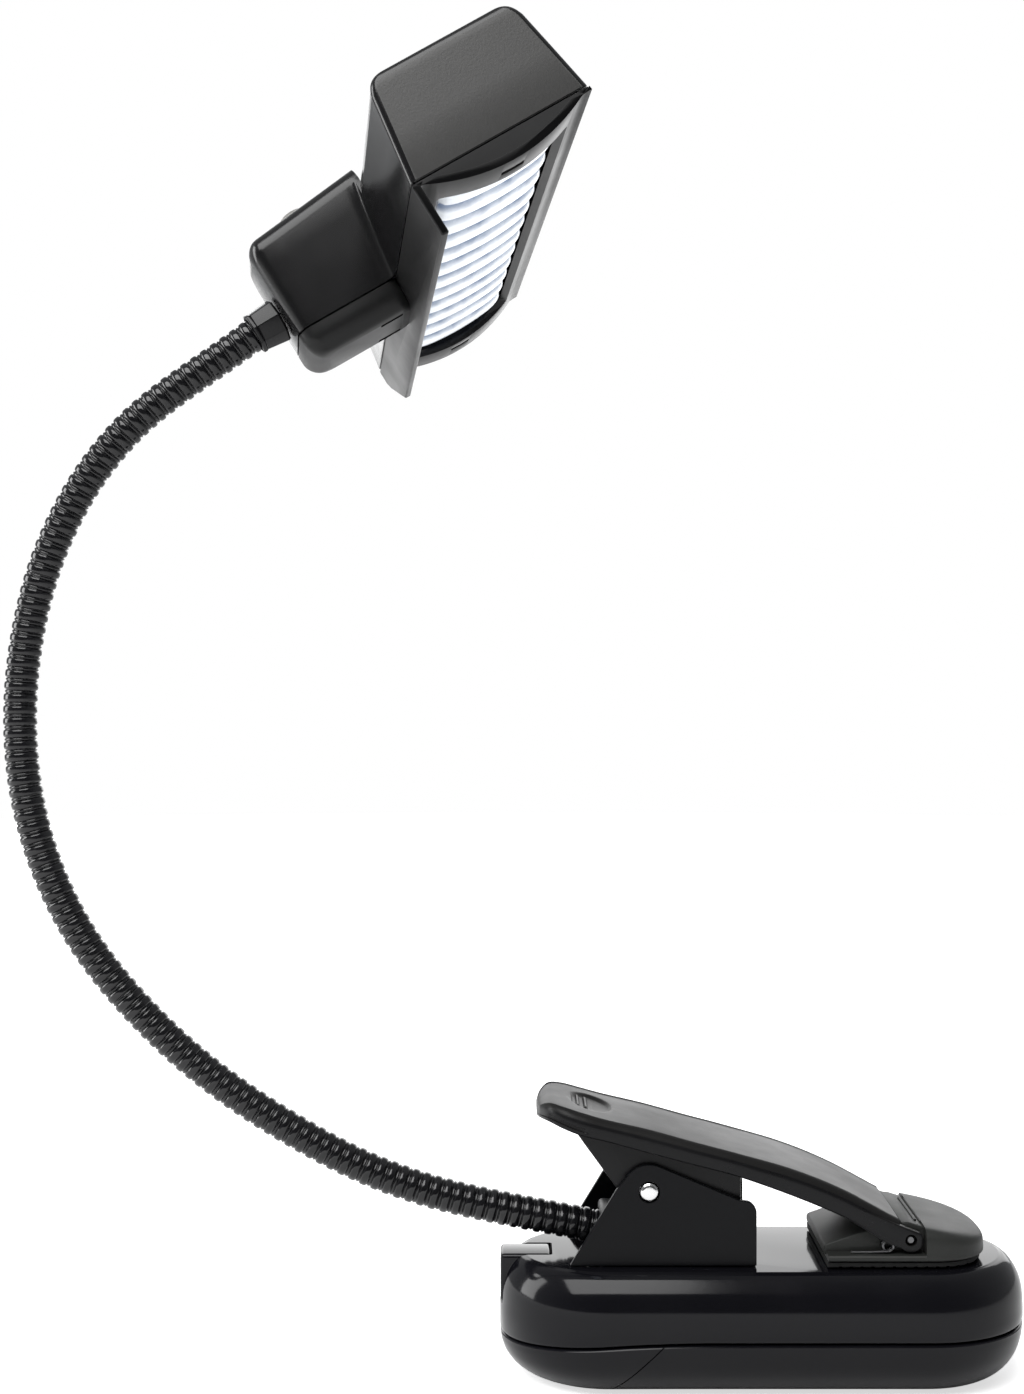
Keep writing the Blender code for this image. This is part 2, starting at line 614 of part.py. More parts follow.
def rear_shell(place, parent):
    depth = HEAD_DEPTH
    outside = [even_ring(0, 0, -SEAM), even_ring(0.3, 0, -9), even_ring(0.7, 0, -depth + 3.4)]
    outside += [even_ring(0.9, 0.5, -depth + 1.5), even_ring(1.3, 1.3, -depth + 0.5)]
    outside += [even_ring(2.0, 2.6, -depth)]
    wall = HEAD_WALL
    inside = [even_ring(4.5, 4.5, -depth + wall), even_ring(wall + 0.7, wall, -depth + 3.6)]
    inside += [even_ring(wall, wall, -SEAM)]
    shell = make("head_rear_shell", cup(outside, inside), "matte_black", parent, place)
    left = -HEAD_HALF_FRONT - HOUSING_LENGTH
    deep = HOUSING_HALF_DEPTH
    right = -HEAD_HALF_FRONT + 1.2

    def hollow(inset, f, end=right, corner=2.6):
        """A ring of the housing, which deepens from its end towards the head."""
        ring = plate_ring(deep - inset, left + inset, end, f, max(corner - inset, 0.8), 3)
        return [(x, y, z * (1 + HOUSING_SLOPE * (y - left) / HOUSING_LENGTH)) for x, y, z in ring]

    back = HOUSING_BACK_F
    rings = [hollow(3.2, back), hollow(1.3, back + 0.6), hollow(0.3, back + 2.0)]
    rings += [hollow(0, back + 4.2), hollow(0, -SEAM)]
    rings = [[(x, min(y, -side_at(max(z, -depth)) + 1.2), z) for x, y, z in ring] for ring in rings]
    boolean(shell, loft(rings), "UNION")
    room = [hollow(2.2, back + 1.8, -15.4), hollow(1.8, back + 3.4, -15.4), hollow(1.8, 1, -15.4)]
    boolean(shell, loft(room), "DIFFERENCE")
    button_w = left + BUTTON_FROM_END
    well = rod((0, button_w, BUTTON_TOP_F - 1), (0, button_w, back + 4), BUTTON_RADIUS + GAP, 16)
    boolean(shell, well, "DIFFERENCE")
    wire_hole = rod((0, left - 2, NECK_AXIS_F), (0, left + 4, NECK_AXIS_F), 1.6, 12)
    boolean(shell, wire_hole, "DIFFERENCE")
    return left, button_w, back


def arch_line(inset, steps=10, low=0.0):
    """The bezel's arched line across the head, at an inset below the outside."""
    half = HEAD_HALF_FRONT - inset
    points = []
    for i in range(steps + 1):
        w = -half + 2 * half * i / steps
        f = ARCH_RISE * (1 - (w / HEAD_HALF_FRONT) ** 2) - inset * (0.9 if abs(w) < half else 0.0)
        points.append((w, max(f, low)))
    return points


def along_head(outline, low_l, high_l):
    """An outline of w, f points drawn out along the head."""
    return loft([[(l, w, f) for w, f in outline] for l in (low_l, high_l)])


def front_bezel(place, parent, left):
    outer, inner = arch_line(0, low=1.2), arch_line(1.6, low=SEAM)
    half = HEAD_HALF_FRONT
    band = [(-half, SEAM), *outer, (half, SEAM), *inner[::-1]]
    length = HEAD_HALF_LENGTH
    bezel = make("head_front_bezel", along_head(band, -length, length), "matte_black", parent, place)
    wall = [(-half + 0.4, SEAM), *[(w * 0.97, f - 0.3) for w, f in outer], (half - 0.4, SEAM)]
    for end in (-1, 1):
        low, high = sorted((end * (length - 0.02), end * (length - 7)))
        boolean(bezel, along_head(wall, low, high), "UNION")
    window = box((-WINDOW_HALF_LENGTH, -WINDOW_HALF_WIDTH, -2), (WINDOW_HALF_LENGTH, WINDOW_HALF_WIDTH, 9))
    boolean(bezel, window, "DIFFERENCE")
    visor = [(-length, 0.4), (length, 0.4), (length, 3.4), (length - 1.5, 5.0)]
    visor += [(length - 10, VISOR_REACH), (-length, VISOR_REACH)]
    plate = loft([[(l, w, f) for l, f in visor] for w in (-half - 0.02, -half + 1.4)])
    boolean(bezel, plate, "UNION")
    deep = HOUSING_HALF_DEPTH
    front = HOUSING_FRONT_F
    right = -half + 0.6

    def lower(inset, f):
        return plate_ring(deep - inset, left + inset, right, f, 2.6, 3)

    rings = [lower(0, SEAM), lower(0, front - 3.4), lower(0.9, front - 1.4), lower(3.0, front)]
    boolean(bezel, loft(rings), "UNION")
    room = [plate_ring(deep - 1.8, left + 1.8, -half - 1.5, f, 1.2) for f in (-1, front - 1.8)]
    boolean(bezel, loft(room), "DIFFERENCE")


def optics(place, parent):
    lens_half_w, lens_half_l = WINDOW_HALF_WIDTH - GAP, WINDOW_HALF_LENGTH - GAP
    rise = [i / 8 for i in range(9)]
    top = [(-lens_half_w + 2 * lens_half_w * s, 1.2 + 2.2 * (1 - (2 * s - 1) ** 2)) for s in rise]
    under = [(w, f - 1.2) for w, f in top]
    make("lens", along_head(top + under[::-1], -lens_half_l, lens_half_l), "lens", parent, place)
    rings = [plate_ring(50.2, -12.2, 12.2, -0.7, 1), plate_ring(48.6, -8.6, 8.6, -7.6, 1)]
    rings += [plate_ring(47.8, -7.8, 7.8, -7.6, 1), plate_ring(49.4, -11.4, 11.4, -0.7, 1)]
    make("reflector", loft(rings, closed=True), "white_plastic", parent, place)
    board = plate_ring(49, -9, 9, -9.2, 1), plate_ring(49, -9, 9, -8.0, 1)
    make("led_board", loft(board), "board", parent, place)
    for i in range(LED_COUNT):
        l = (i - (LED_COUNT - 1) / 2) * LED_PITCH
        sizes = ((1.8, -7.7), (1.8, -6.8), (1.2, -6.3))
        led = loft([plate_ring(half, -half, half, f, 0.5, 1) for half, f in sizes])
        led.transform(Matrix.Translation((l, 0, 0)))
        make(f"led_{i + 1:02d}", led, "white_plastic", parent, place)


def child_axis(name, place, point, parent):
    """An axis empty at a point of the head's frame, which moves with another one."""
    axis = axis_empty(name, place @ (Vector(point) * MM) / MM)
    bpy.context.view_layer.update()
    axis.parent = parent
    axis.matrix_parent_inverse = parent.matrix_world.inverted()
    return axis


def head(neck_end_axis):
    place = head_frame()
    twist_point = (0, -HEAD_HALF_FRONT - HOUSING_LENGTH, NECK_AXIS_F)
    twist = child_axis("head_twist_axis", place, twist_point, neck_end_axis)
    left, button_w, back = rear_shell(place, twist)
    front_bezel(place, twist, left)
    optics(place, twist)
    collar_end = left - GAP
    profile = ((0, COLLAR_RADIUS - 0.4), (0.1, COLLAR_RADIUS), (1, COLLAR_RADIUS))
    start, end = (0, collar_end - COLLAR_LENGTH, NECK_AXIS_F), (0, collar_end, NECK_AXIS_F)
    collar = make("neck_collar", turned(start, end, profile, 8), "satin_black", twist, place)
    wire_way = rod((0, left - 9, NECK_AXIS_F), (0, left + 1, NECK_AXIS_F), WIRE_RADIUS + 2 * GAP, 12)
    boolean(collar, wire_way, "DIFFERENCE")
    body = box((-4.5, button_w - 4.5, back + 4.6), (4.5, button_w + 4.5, -7.5))
    make("switch_body", body, "white_plastic", twist, place)
    button_axis = child_axis("power_button_axis", place, (0, button_w, back), twist)
    dome = ((0, 1), (0.66, 1), (0.82, 0.9), (0.94, 0.62), (1, 0.25))
    profile = [(share, radius * BUTTON_RADIUS) for share, radius in dome]
    button = turned((0, button_w, BUTTON_FOOT_F), (0, button_w, BUTTON_TOP_F), profile, 18)
    make("power_button", button, "steel", button_axis, place)


def main():
    for obj in list(bpy.data.objects):
        bpy.data.objects.remove(obj)
    lever_axis = axis_empty("lever_axis", (PIVOT_X, 0, PIVOT_Z))
    jaw_axis = axis_empty("jaw_axis", (JAW_PIN_X, 0, JAW_PIN_Z))
    bpy.context.view_layer.update()
    jaw_axis.parent = lever_axis
    jaw_axis.matrix_parent_inverse = lever_axis.matrix_world.inverted()
    cover_axis = axis_empty("battery_cover_axis", (0, 0, 0))
    base_top_shell()
    base_bottom(cover_axis)
    power_inlet()
    battery_bay()
    clip_bracket()
    clip_lever(lever_axis)
    torsion_spring(lever_axis)
    clip_jaw(jaw_axis)
    head(neck())


main()
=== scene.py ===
"""The looks of the clip-on reading lamp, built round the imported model.

Lengths are in millimetres, scaled by MM. The lights, floor and camera are placed in metres.
"""

import json
import math

import bmesh
import bpy
from mathutils import Matrix, Vector


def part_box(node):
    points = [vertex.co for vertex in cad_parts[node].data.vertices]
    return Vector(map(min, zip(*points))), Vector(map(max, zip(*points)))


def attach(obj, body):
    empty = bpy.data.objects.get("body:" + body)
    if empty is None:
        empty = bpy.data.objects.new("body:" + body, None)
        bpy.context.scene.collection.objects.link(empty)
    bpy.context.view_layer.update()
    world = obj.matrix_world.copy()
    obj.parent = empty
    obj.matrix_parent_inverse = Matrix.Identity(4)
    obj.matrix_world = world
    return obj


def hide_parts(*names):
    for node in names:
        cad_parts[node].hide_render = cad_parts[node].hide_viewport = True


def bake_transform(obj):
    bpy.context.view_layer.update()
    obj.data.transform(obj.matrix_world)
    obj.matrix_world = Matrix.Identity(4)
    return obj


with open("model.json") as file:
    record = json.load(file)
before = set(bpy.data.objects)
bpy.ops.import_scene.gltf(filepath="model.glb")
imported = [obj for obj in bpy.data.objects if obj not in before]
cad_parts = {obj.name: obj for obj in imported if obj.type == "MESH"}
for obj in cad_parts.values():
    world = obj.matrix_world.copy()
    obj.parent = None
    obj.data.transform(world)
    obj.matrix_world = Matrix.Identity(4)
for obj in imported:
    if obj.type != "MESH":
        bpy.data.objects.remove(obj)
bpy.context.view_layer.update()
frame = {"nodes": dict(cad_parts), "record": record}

MM = 0.001
NODES = frame["nodes"]
JOINTS = {joint["name"]: joint for joint in frame["record"]["behaviour"]["joints"]}


def node_box(name):
    """A CAD node's lowest and highest corner, in millimetres."""
    low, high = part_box(name)
    return Vector(low) / MM, Vector(high) / MM


def joint_point(name):
    """A hinge's position, in millimetres."""
    return Vector(JOINTS[name]["pos_m"]) / MM


# ---------------------------------------------------------------- measures read from the frame

TOP_LOW, TOP_HIGH = node_box("base_top_shell")
BASE_HALF_LENGTH = TOP_HIGH.x
BASE_HALF_WIDTH = TOP_HIGH.y
BASE_HEIGHT = TOP_HIGH.z
SEAM = 0.15
PARTING_HEIGHT = node_box("battery_cover")[1].z + SEAM
PARTING_DIP = PARTING_HEIGHT - TOP_LOW.z + SEAM
PARTING_FLAT_X = -10.0
STAND_Z = node_box("clip_bracket")[0].z
EAR_OUTER = node_box("clip_bracket")[1].y
EAR_THICKNESS = 1.2
PIVOT = joint_point("clip_lever_pivot")
JAW_PIN = joint_point("jaw_pivot")
LEVER_HALF_WIDTH = node_box("clip_lever")[1].y
WEB_OUTER = 11.4
LEVER_WALL = 1.6
JAW_HALF_WIDTH = node_box("jaw")[1].y
RIDGE_HALF_WIDTH = 11.7

HEAD_HALF_LENGTH = 60.0
HEAD_HALF_FRONT = 17.7
HEAD_HALF_BACK = 14.5
HEAD_DEPTH = 20.0
HEAD_WALL = 1.8
ARCH_RISE = 4.8
VISOR_REACH = 10.0
WINDOW_HALF_LENGTH = 51.0
NECK_AXIS_F = -6.2
HOUSING_LENGTH = 21.4
HOUSING_HALF_DEPTH = 9.5
HOUSING_FRONT_F = 6.0
HOUSING_BACK_F = -19.8
HOUSING_SLOPE = 0.13
HOUSING_LEFT = -HEAD_HALF_FRONT - HOUSING_LENGTH
BUTTON_W = HOUSING_LEFT + 12.4
BUTTON_RADIUS = 3.6
BUTTON_TOP_F = -23.3
BUTTON_FOOT_F = -16.3

NECK_RADIUS = 3.25
NECK_ROUTE = (
    (-28.5, 0.0, 26.6),
    (-65.4, 0.0, 34.6),
    (-90.6, 0.0, 46.2),
    (-113.0, 0.0, 62.5),
    (-130.8, 0.0, 83.4),
    (-140.4, 0.0, 107.0),
    (-141.9, 0.0, 133.0),
    (-135.5, -0.8, 158.8),
    (-121.3, -2.0, 180.1),
    (-97.1, -1.0, 198.6),
)


def head_place():
    """The head's placement: X along it, Y across it and Z towards the light."""
    across = Vector(JOINTS["head_twist"]["axis"]).normalized()
    light = Vector(JOINTS["power_button_press"]["axis"]).normalized()
    light = (light - across * across.dot(light)).normalized()
    centre = joint_point("head_twist") - across * HOUSING_LEFT - light * NECK_AXIS_F
    turn = Matrix((across.cross(light), across, light)).transposed()
    return Matrix.Translation(centre * MM) @ turn.to_4x4()


HEAD_PLACE = head_place()


# ---------------------------------------------------------------- materials


def shader_nodes(name):
    """A new material with its node tree's nodes, links and Principled shader."""
    made = bpy.data.materials.new(name)
    made.use_nodes = True
    tree = made.node_tree
    return made, tree.nodes, tree.links, tree.nodes["Principled BSDF"]


def fill(node, **values):
    """Sets a shader node's inputs, named with _ for each space."""
    for name, value in values.items():
        node.inputs[name.replace("_", " ")].default_value = value


def colour_mix(nodes, links, factor, low, high):
    """A mix of two colours by another node's value."""
    shade = nodes.new("ShaderNodeMix")
    shade.data_type = "RGBA"
    fill(shade, A=(*low, 1), B=(*high, 1))
    links.new(factor, shade.inputs["Factor"])
    return shade.outputs["Result"]


def relief(nodes, links, shader, height, strength, depth):
    """Bumps the shader's surface by another node's value."""
    bump = nodes.new("ShaderNodeBump")
    fill(bump, Strength=strength, Distance=depth)
    links.new(height, bump.inputs["Height"])
    links.new(bump.outputs["Normal"], shader.inputs["Normal"])


def plastic(
    name, colour, roughness, grain=2600, bump=0.06, uneven=0.12, shine=0.5, tint=0.25, depth=0.00004
):
    """Moulded plastic: grain in the bump, smears in the roughness, and faint dust in the colour."""
    made, nodes, links, shader = shader_nodes(name)
    place = nodes.new("ShaderNodeTexCoord")
    fine = nodes.new("ShaderNodeTexNoise")
    fill(fine, Scale=grain, Detail=3)
    broad = nodes.new("ShaderNodeTexNoise")
    fill(broad, Scale=38, Detail=6, Roughness=0.62)
    links.new(place.outputs["Object"], fine.inputs["Vector"])
    links.new(place.outputs["Object"], broad.inputs["Vector"])
    gloss = nodes.new("ShaderNodeMapRange")
    fill(
        gloss,
        From_Min=0.3,
        From_Max=0.75,
        To_Min=roughness * (1 - uneven),
        To_Max=min(1.0, roughness * (1 + uneven) + uneven * 0.08),
    )
    links.new(broad.outputs["Fac"], gloss.inputs["Value"])
    links.new(gloss.outputs["Result"], shader.inputs["Roughness"])
    dusty = [min(1.0, c * (1 + tint) + 0.002) for c in colour]
    shade = colour_mix(nodes, links, broad.outputs["Fac"], colour, dusty)
    links.new(shade, shader.inputs["Base Color"])
    relief(nodes, links, shader, fine.outputs["Fac"], bump, depth)
    fill(shader, Specular_IOR_Level=shine)
    return made


def metal(name, colour, roughness, scratch=900):
    """Plated steel with fine scratches and a slightly uneven polish."""
    made, nodes, links, shader = shader_nodes(name)
    place = nodes.new("ShaderNodeTexCoord")
    stretch = nodes.new("ShaderNodeMapping")
    fill(stretch, Scale=(1.0, 12.0, 3.0))
    noise = nodes.new("ShaderNodeTexNoise")
    fill(noise, Scale=scratch, Detail=4)
    links.new(place.outputs["Object"], stretch.inputs["Vector"])
    links.new(stretch.outputs["Vector"], noise.inputs["Vector"])
    gloss = nodes.new("ShaderNodeMapRange")
    fill(gloss, To_Min=roughness * 0.7, To_Max=roughness * 1.5)
    links.new(noise.outputs["Fac"], gloss.inputs["Value"])
    links.new(gloss.outputs["Result"], shader.inputs["Roughness"])
    relief(nodes, links, shader, noise.outputs["Fac"], 0.08, 0.00002)
    fill(shader, Base_Color=(*colour, 1), Metallic=1.0)
    return made


def lens_plastic_with_painted_light(name, pitch):
    """The lens: clear plastic with flow marks; its pale ribs stand for the white reflector beneath
    plus a painted highlight, its blue-grey grooves are painted shade, and it has a painted glow.
    """
    made, nodes, links, shader = shader_nodes(name)
    place = nodes.new("ShaderNodeTexCoord")
    lengthwise, centre = HEAD_PLACE.col[0].xyz, HEAD_PLACE.translation
    reach = nodes.new("ShaderNodeVectorMath")
    reach.operation = "DOT_PRODUCT"
    reach.inputs[1].default_value = lengthwise
    links.new(place.outputs["Object"], reach.inputs[0])
    noise = nodes.new("ShaderNodeTexNoise")
    fill(noise, Scale=260, Detail=4)
    links.new(place.outputs["Object"], noise.inputs["Vector"])
    turn = nodes.new("ShaderNodeMath")
    turn.operation = "MULTIPLY_ADD"
    turn.inputs[1].default_value = 2 * math.pi / (pitch * MM)
    turn.inputs[2].default_value = -2 * math.pi / (pitch * MM) * lengthwise.dot(centre)
    wave = nodes.new("ShaderNodeMath")
    wave.operation = "COSINE"
    smear = nodes.new("ShaderNodeMath")
    smear.operation = "MULTIPLY_ADD"
    smear.inputs[1].default_value = 1.6
    blend = nodes.new("ShaderNodeMapRange")
    fill(blend, From_Min=0.55, From_Max=1.9)
    links.new(reach.outputs["Value"], turn.inputs[0])
    links.new(turn.outputs["Value"], wave.inputs[0])
    links.new(noise.outputs["Fac"], smear.inputs[0])
    links.new(wave.outputs["Value"], smear.inputs[2])
    links.new(smear.outputs["Value"], blend.inputs["Value"])
    # Painted highlight and painted shade: the pale crest colour stands for the white reflector
    # beneath plus a painted highlight, and the blue-grey groove colour is painted shade, set by a
    # cosine in step with the ribs.
    painted_crest_highlight, painted_groove_shade = (0.9, 0.93, 0.96), (0.17, 0.22, 0.33)
    shade = colour_mix(nodes, links, blend.outputs["Result"], painted_crest_highlight, painted_groove_shade)
    links.new(shade, shader.inputs["Base Color"])
    relief(nodes, links, shader, noise.outputs["Fac"], 0.12, 0.00005)
    fill(shader, Roughness=0.1)
    # Painted glow: the lens faintly emits its painted crest and groove colour, standing in for
    # light it picks up from inside.
    links.new(shade, shader.inputs["Emission Color"])
    fill(shader, Emission_Strength=0.3, IOR=1.49, Transmission_Weight=0.18)
    return made


LENS_HALF_LENGTH = WINDOW_HALF_LENGTH - 0.6
LENS_RIBS = 12

GLOSS_BLACK = plastic("gloss_black", (0.003, 0.003, 0.0042), 0.1, 1500, 0.03, 0.25, 0.22, 0.3)
SLEEVE_BLACK = plastic("sleeve_black", (0.004, 0.004, 0.0048), 0.12, 1800, 0.04, 0.25, 0.45)
SATIN_BLACK = plastic("satin_black", (0.002, 0.0021, 0.0028), 0.34, 2600, 0.12, 0.2, 0.15)
LEVER_BLACK = plastic("lever_black", (0.008, 0.0077, 0.0076), 0.38, 3000, 0.2, 0.2, 0.14)
# Painted shade: a darker copy of the lever's plastic for its side faces.
LEVER_SIDE_PAINTED_SHADE = plastic("lever_side_painted_shade", (0.004, 0.004, 0.0045), 0.3, 3000, 0.15, 0.2, 0.2)
JAW_BLACK = plastic("jaw_black", (0.016, 0.0168, 0.0155), 0.5, 3000, 0.3, 0.15, 0.3)
HEAD_BLACK = plastic("head_black", (0.0045, 0.0045, 0.0048), 0.2, 2400, 0.1, 0.2, 0.34)
CAP_GREY = plastic("head_cap", (0.042, 0.0415, 0.0405), 0.5, 2400, 0.55, 0.12, 0.4, 0.2, 0.00008)
BEZEL_BLACK = plastic("bezel_black", (0.008, 0.008, 0.0082), 0.34, 2400, 0.12, 0.2, 0.22)
# Painted shade: a darker copy of the bezel's plastic for its flat ends.
BEZEL_END_PAINTED_SHADE = plastic("bezel_end_painted_shade", (0.002, 0.002, 0.0022), 0.3, 2400, 0.1, 0.2, 0.12)
COLLAR_BLACK = plastic("collar_black", (0.0035, 0.0035, 0.004), 0.16, 2200, 0.06, 0.2, 0.26)
DARK_STEEL = metal("dark_steel", (0.16, 0.16, 0.165), 0.3)
RUBBER = plastic("rubber_pad", (0.012, 0.012, 0.012), 0.75, 3200, 0.6, 0.1, 0.3)
WHITE = plastic("white_plastic", (0.8, 0.81, 0.82), 0.3, 1200, 0.05, 0.1, 0.5, 0.02)
BOARD = plastic("circuit_board", (0.75, 0.78, 0.75), 0.45, 900, 0.2, 0.1, 0.5, 0.05)
CELL = plastic("cell_wrap", (0.05, 0.09, 0.16), 0.28, 700, 0.04, 0.2, 0.5)
LEAD = plastic("lead_sheath", (0.008, 0.008, 0.008), 0.45, 900, 0.08, 0.1, 0.5)
STEEL = metal("bright_steel", (0.8, 0.8, 0.8), 0.16)
SPRING_STEEL = metal("spring_steel", (0.62, 0.62, 0.63), 0.24)
NICKEL = metal("nickel", (0.68, 0.66, 0.62), 0.28)
# The lens material: painted highlight on the ribs, painted shade in the grooves and a painted glow.
LENS = lens_plastic_with_painted_light("clear_lens", 2 * LENS_HALF_LENGTH / LENS_RIBS)


# ---------------------------------------------------------------- making pieces


def piece(
    name,
    mesh,
    finish,
    slot,
    body=None,
    stands_for=(),
    place=None,
    angle=38,
    weighted=False,
    other=None,
    where=None,
):
    """Turns a bmesh in millimetres into a piece on a body, standing for CAD nodes; frees the bmesh.

    The placement is applied to the mesh. The faces that pass the test where take the other finish.
    """
    bmesh.ops.recalc_face_normals(mesh, faces=mesh.faces)
    for face in mesh.faces:
        face.material_index = 1 if where and where(face) else 0
    bmesh.ops.scale(mesh, vec=(MM, MM, MM), verts=mesh.verts)
    if place is not None:
        bmesh.ops.transform(mesh, matrix=place, verts=mesh.verts)
    data = bpy.data.meshes.new(name)
    mesh.to_mesh(data)
    mesh.free()
    data.shade_smooth()
    data.set_sharp_from_angle(angle=math.radians(angle))
    data.materials.append(finish)
    if other:
        data.materials.append(other)
    obj = bpy.data.objects.new(name, data)
    bpy.context.collection.objects.link(obj)
    if weighted:
        normals = obj.modifiers.new("Normals", "WEIGHTED_NORMAL")
        normals.keep_sharp = True
    if body:
        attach(obj, body)
    if stands_for:
        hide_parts(*stands_for)
    return obj


def combine(mesh, other, operation="DIFFERENCE"):
    """The bmesh after a Boolean with another one; both are used up."""
    made = []
    for source in (mesh, other):
        bmesh.ops.recalc_face_normals(source, faces=source.faces)
        data = bpy.data.meshes.new("boolean")
        source.to_mesh(data)
        source.free()
        obj = bpy.data.objects.new("boolean", data)
        bpy.context.collection.objects.link(obj)
        made.append(obj)
    modifier = made[0].modifiers.new("Boolean", "BOOLEAN")
    modifier.operation = operation
    modifier.solver = "EXACT"
    modifier.object = made[1]
    graph = bpy.context.evaluated_depsgraph_get()
    result = bmesh.new()
    result.from_mesh(made[0].evaluated_get(graph).data)
    for obj in made:
        data = obj.data
        bpy.data.objects.remove(obj)
        bpy.data.meshes.remove(data)
    return result


def soften(mesh, width, segments=2, angle=32):
    """Rounds the bmesh's edges that are sharper than the angle."""
    bmesh.ops.remove_doubles(mesh, verts=mesh.verts, dist=0.004)
    flat = math.radians(0.4)
    bmesh.ops.dissolve_limit(mesh, angle_limit=flat, verts=mesh.verts, edges=mesh.edges)
    sharp = math.radians(angle)
    edges = [e for e in mesh.edges if len(e.link_faces) == 2 and e.calc_face_angle(0) > sharp]
    bmesh.ops.bevel(
        mesh,
        geom=edges,
        offset=width,
        offset_type="OFFSET",
        segments=segments,
        profile=0.5,
        affect="EDGES",
        clamp_overlap=True,
    )
    return mesh


def loft(rings, closed=False, caps=True):
    """A mesh through equal rings of points, capped at its ends unless it closes on itself."""
    mesh = bmesh.new()
    rows = [[mesh.verts.new(point) for point in ring] for ring in rings]
    count = len(rows[0])
    pairs = list(zip(rows, rows[1:]))
    if closed:
        pairs.append((rows[-1], rows[0]))
    for lower, upper in pairs:
        for i in range(count):
            j = (i + 1) % count
            mesh.faces.new((lower[i], lower[j], upper[j], upper[i]))
    if caps and not closed:
        mesh.faces.new(rows[0][::-1])
        mesh.faces.new(rows[-1])
    return mesh


def box(low, high):
    """A box between two corners."""
    (x0, y0, z0), (x1, y1, z1) = low, high
    ring = ((x0, y0), (x1, y0), (x1, y1), (x0, y1))
    return loft([[(x, y, z) for x, y in ring] for z in (z0, z1)])


def prism(outline, low_y, high_y):
    """An outline of x, z points drawn out along Y."""
    return loft([[(x, y, z) for x, z in outline] for y in (low_y, high_y)])


def drawn_out(outline, low_l, high_l):
    """An outline of w, f points drawn out along the head's X."""
    return loft([[(l, w, f) for w, f in outline] for l in (low_l, high_l)])


def turned(start, end, profile, sides=40):
    """A solid turned about the line from start to end, by (share of the way, radius) pairs."""
    start, end = Vector(start), Vector(end)
    side = (end - start).orthogonal().normalized()
    other = (end - start).normalized().cross(side)
    rings = []
    for share, radius in profile:
        centre = start.lerp(end, share)
        turns = (2 * math.pi * i / sides for i in range(sides))
        rings.append([centre + radius * (math.cos(t) * side + math.sin(t) * other) for t in turns])
    return loft(rings)


def rod(start, end, radius, sides=40):
    """A plain round rod."""
    return turned(start, end, ((0, radius), (1, radius)), sides)


def merge(*meshes):
    """Several bmeshes as one, with the later ones freed."""
    first = meshes[0]
    for other in meshes[1:]:
        data = bpy.data.meshes.new("merging")
        other.to_mesh(data)
        other.free()
        first.from_mesh(data)
        bpy.data.meshes.remove(data)
    return first


def arc(centre, radius, start, stop, steps):
    """Points on an arc, with angles in degrees from the first axis towards the second."""
    angles = (math.radians(start + (stop - start) * i / steps) for i in range(steps + 1))
    return [(centre[0] + radius * math.cos(a), centre[1] + radius * math.sin(a)) for a in angles]


def curve_through(knots, steps):
    """Points on a Catmull-Rom curve through the knots, which may have any number of values."""
    size = len(knots[0])

    def shifted(a, b):
        return tuple(2 * a[k] - b[k] for k in range(size))

    ends = [shifted(knots[0], knots[1]), *knots, shifted(knots[-1], knots[-2])]
    points = []
    for a, b, c, d in zip(ends, ends[1:], ends[2:], ends[3:]):
        for i in range(steps):
            t = i / steps
            point = []
            for k in range(size):
                lift = 2 * b[k] + (c[k] - a[k]) * t
                lift = lift + (2 * a[k] - 5 * b[k] + 4 * c[k] - d[k]) * t * t
                point.append(0.5 * (lift + (3 * b[k] - a[k] - 3 * c[k] + d[k]) * t**3))
            points.append(tuple(point))
    return points + [tuple(knots[-1])]


def along(points, distance):
    """The position and direction at a distance along a polyline."""
    for a, b in zip(points, points[1:]):
        step = (b - a).length
        if distance <= step or b is points[-1]:
            return a + (b - a) * (distance / step), (b - a).normalized()
        distance -= step


def wire(points, radius, sides=12, caps=True):
    """A round wire through points; its section turns with the path, so it suits a coil."""
    points = [Vector(point) for point in points]
    rings, side = [], None
    for i, point in enumerate(points):
        direction = (points[min(i + 1, len(points) - 1)] - points[max(i - 1, 0)]).normalized()
        side = direction.orthogonal() if side is None else side - direction * side.dot(direction)
        side.normalize()
        other = direction.cross(side)
        turns = (2 * math.pi * k / sides for k in range(sides))
        rings.append([point + radius * (math.cos(t) * side + math.sin(t) * other) for t in turns])
    return loft(rings, caps=caps)


def smooth_step(value):
    """0 below 0, 1 above 1, and smooth in between."""
    value = min(1.0, max(0.0, value))
    return value * value * (3 - 2 * value)


def cup(outside, inside):
    """A cup: through the outside rings from lip to floor, then the inside rings back to the lip."""
    mesh = loft(outside + inside[::1], caps=False)
    mesh.verts.ensure_lookup_table()
    count = len(outside[0])
    total = len(outside) + len(inside)
    for i in range(count):
        j = (i + 1) % count
        last = (total - 1) * count
        mesh.faces.new((mesh.verts[last + i], mesh.verts[last + j], mesh.verts[j], mesh.verts[i]))
    floor = len(outside) * count
    outer_floor = [mesh.verts[floor - count + i] for i in range(count)]
    inner_floor = [mesh.verts[floor + i] for i in range(count)]
    between = {*outer_floor, *inner_floor}
    spare = [face for face in mesh.faces if set(face.verts) <= between]
    bmesh.ops.delete(mesh, geom=spare, context="FACES_ONLY")
    mesh.faces.new(outer_floor)
    mesh.faces.new(inner_floor[::-1])
    return mesh


# ---------------------------------------------------------------- base


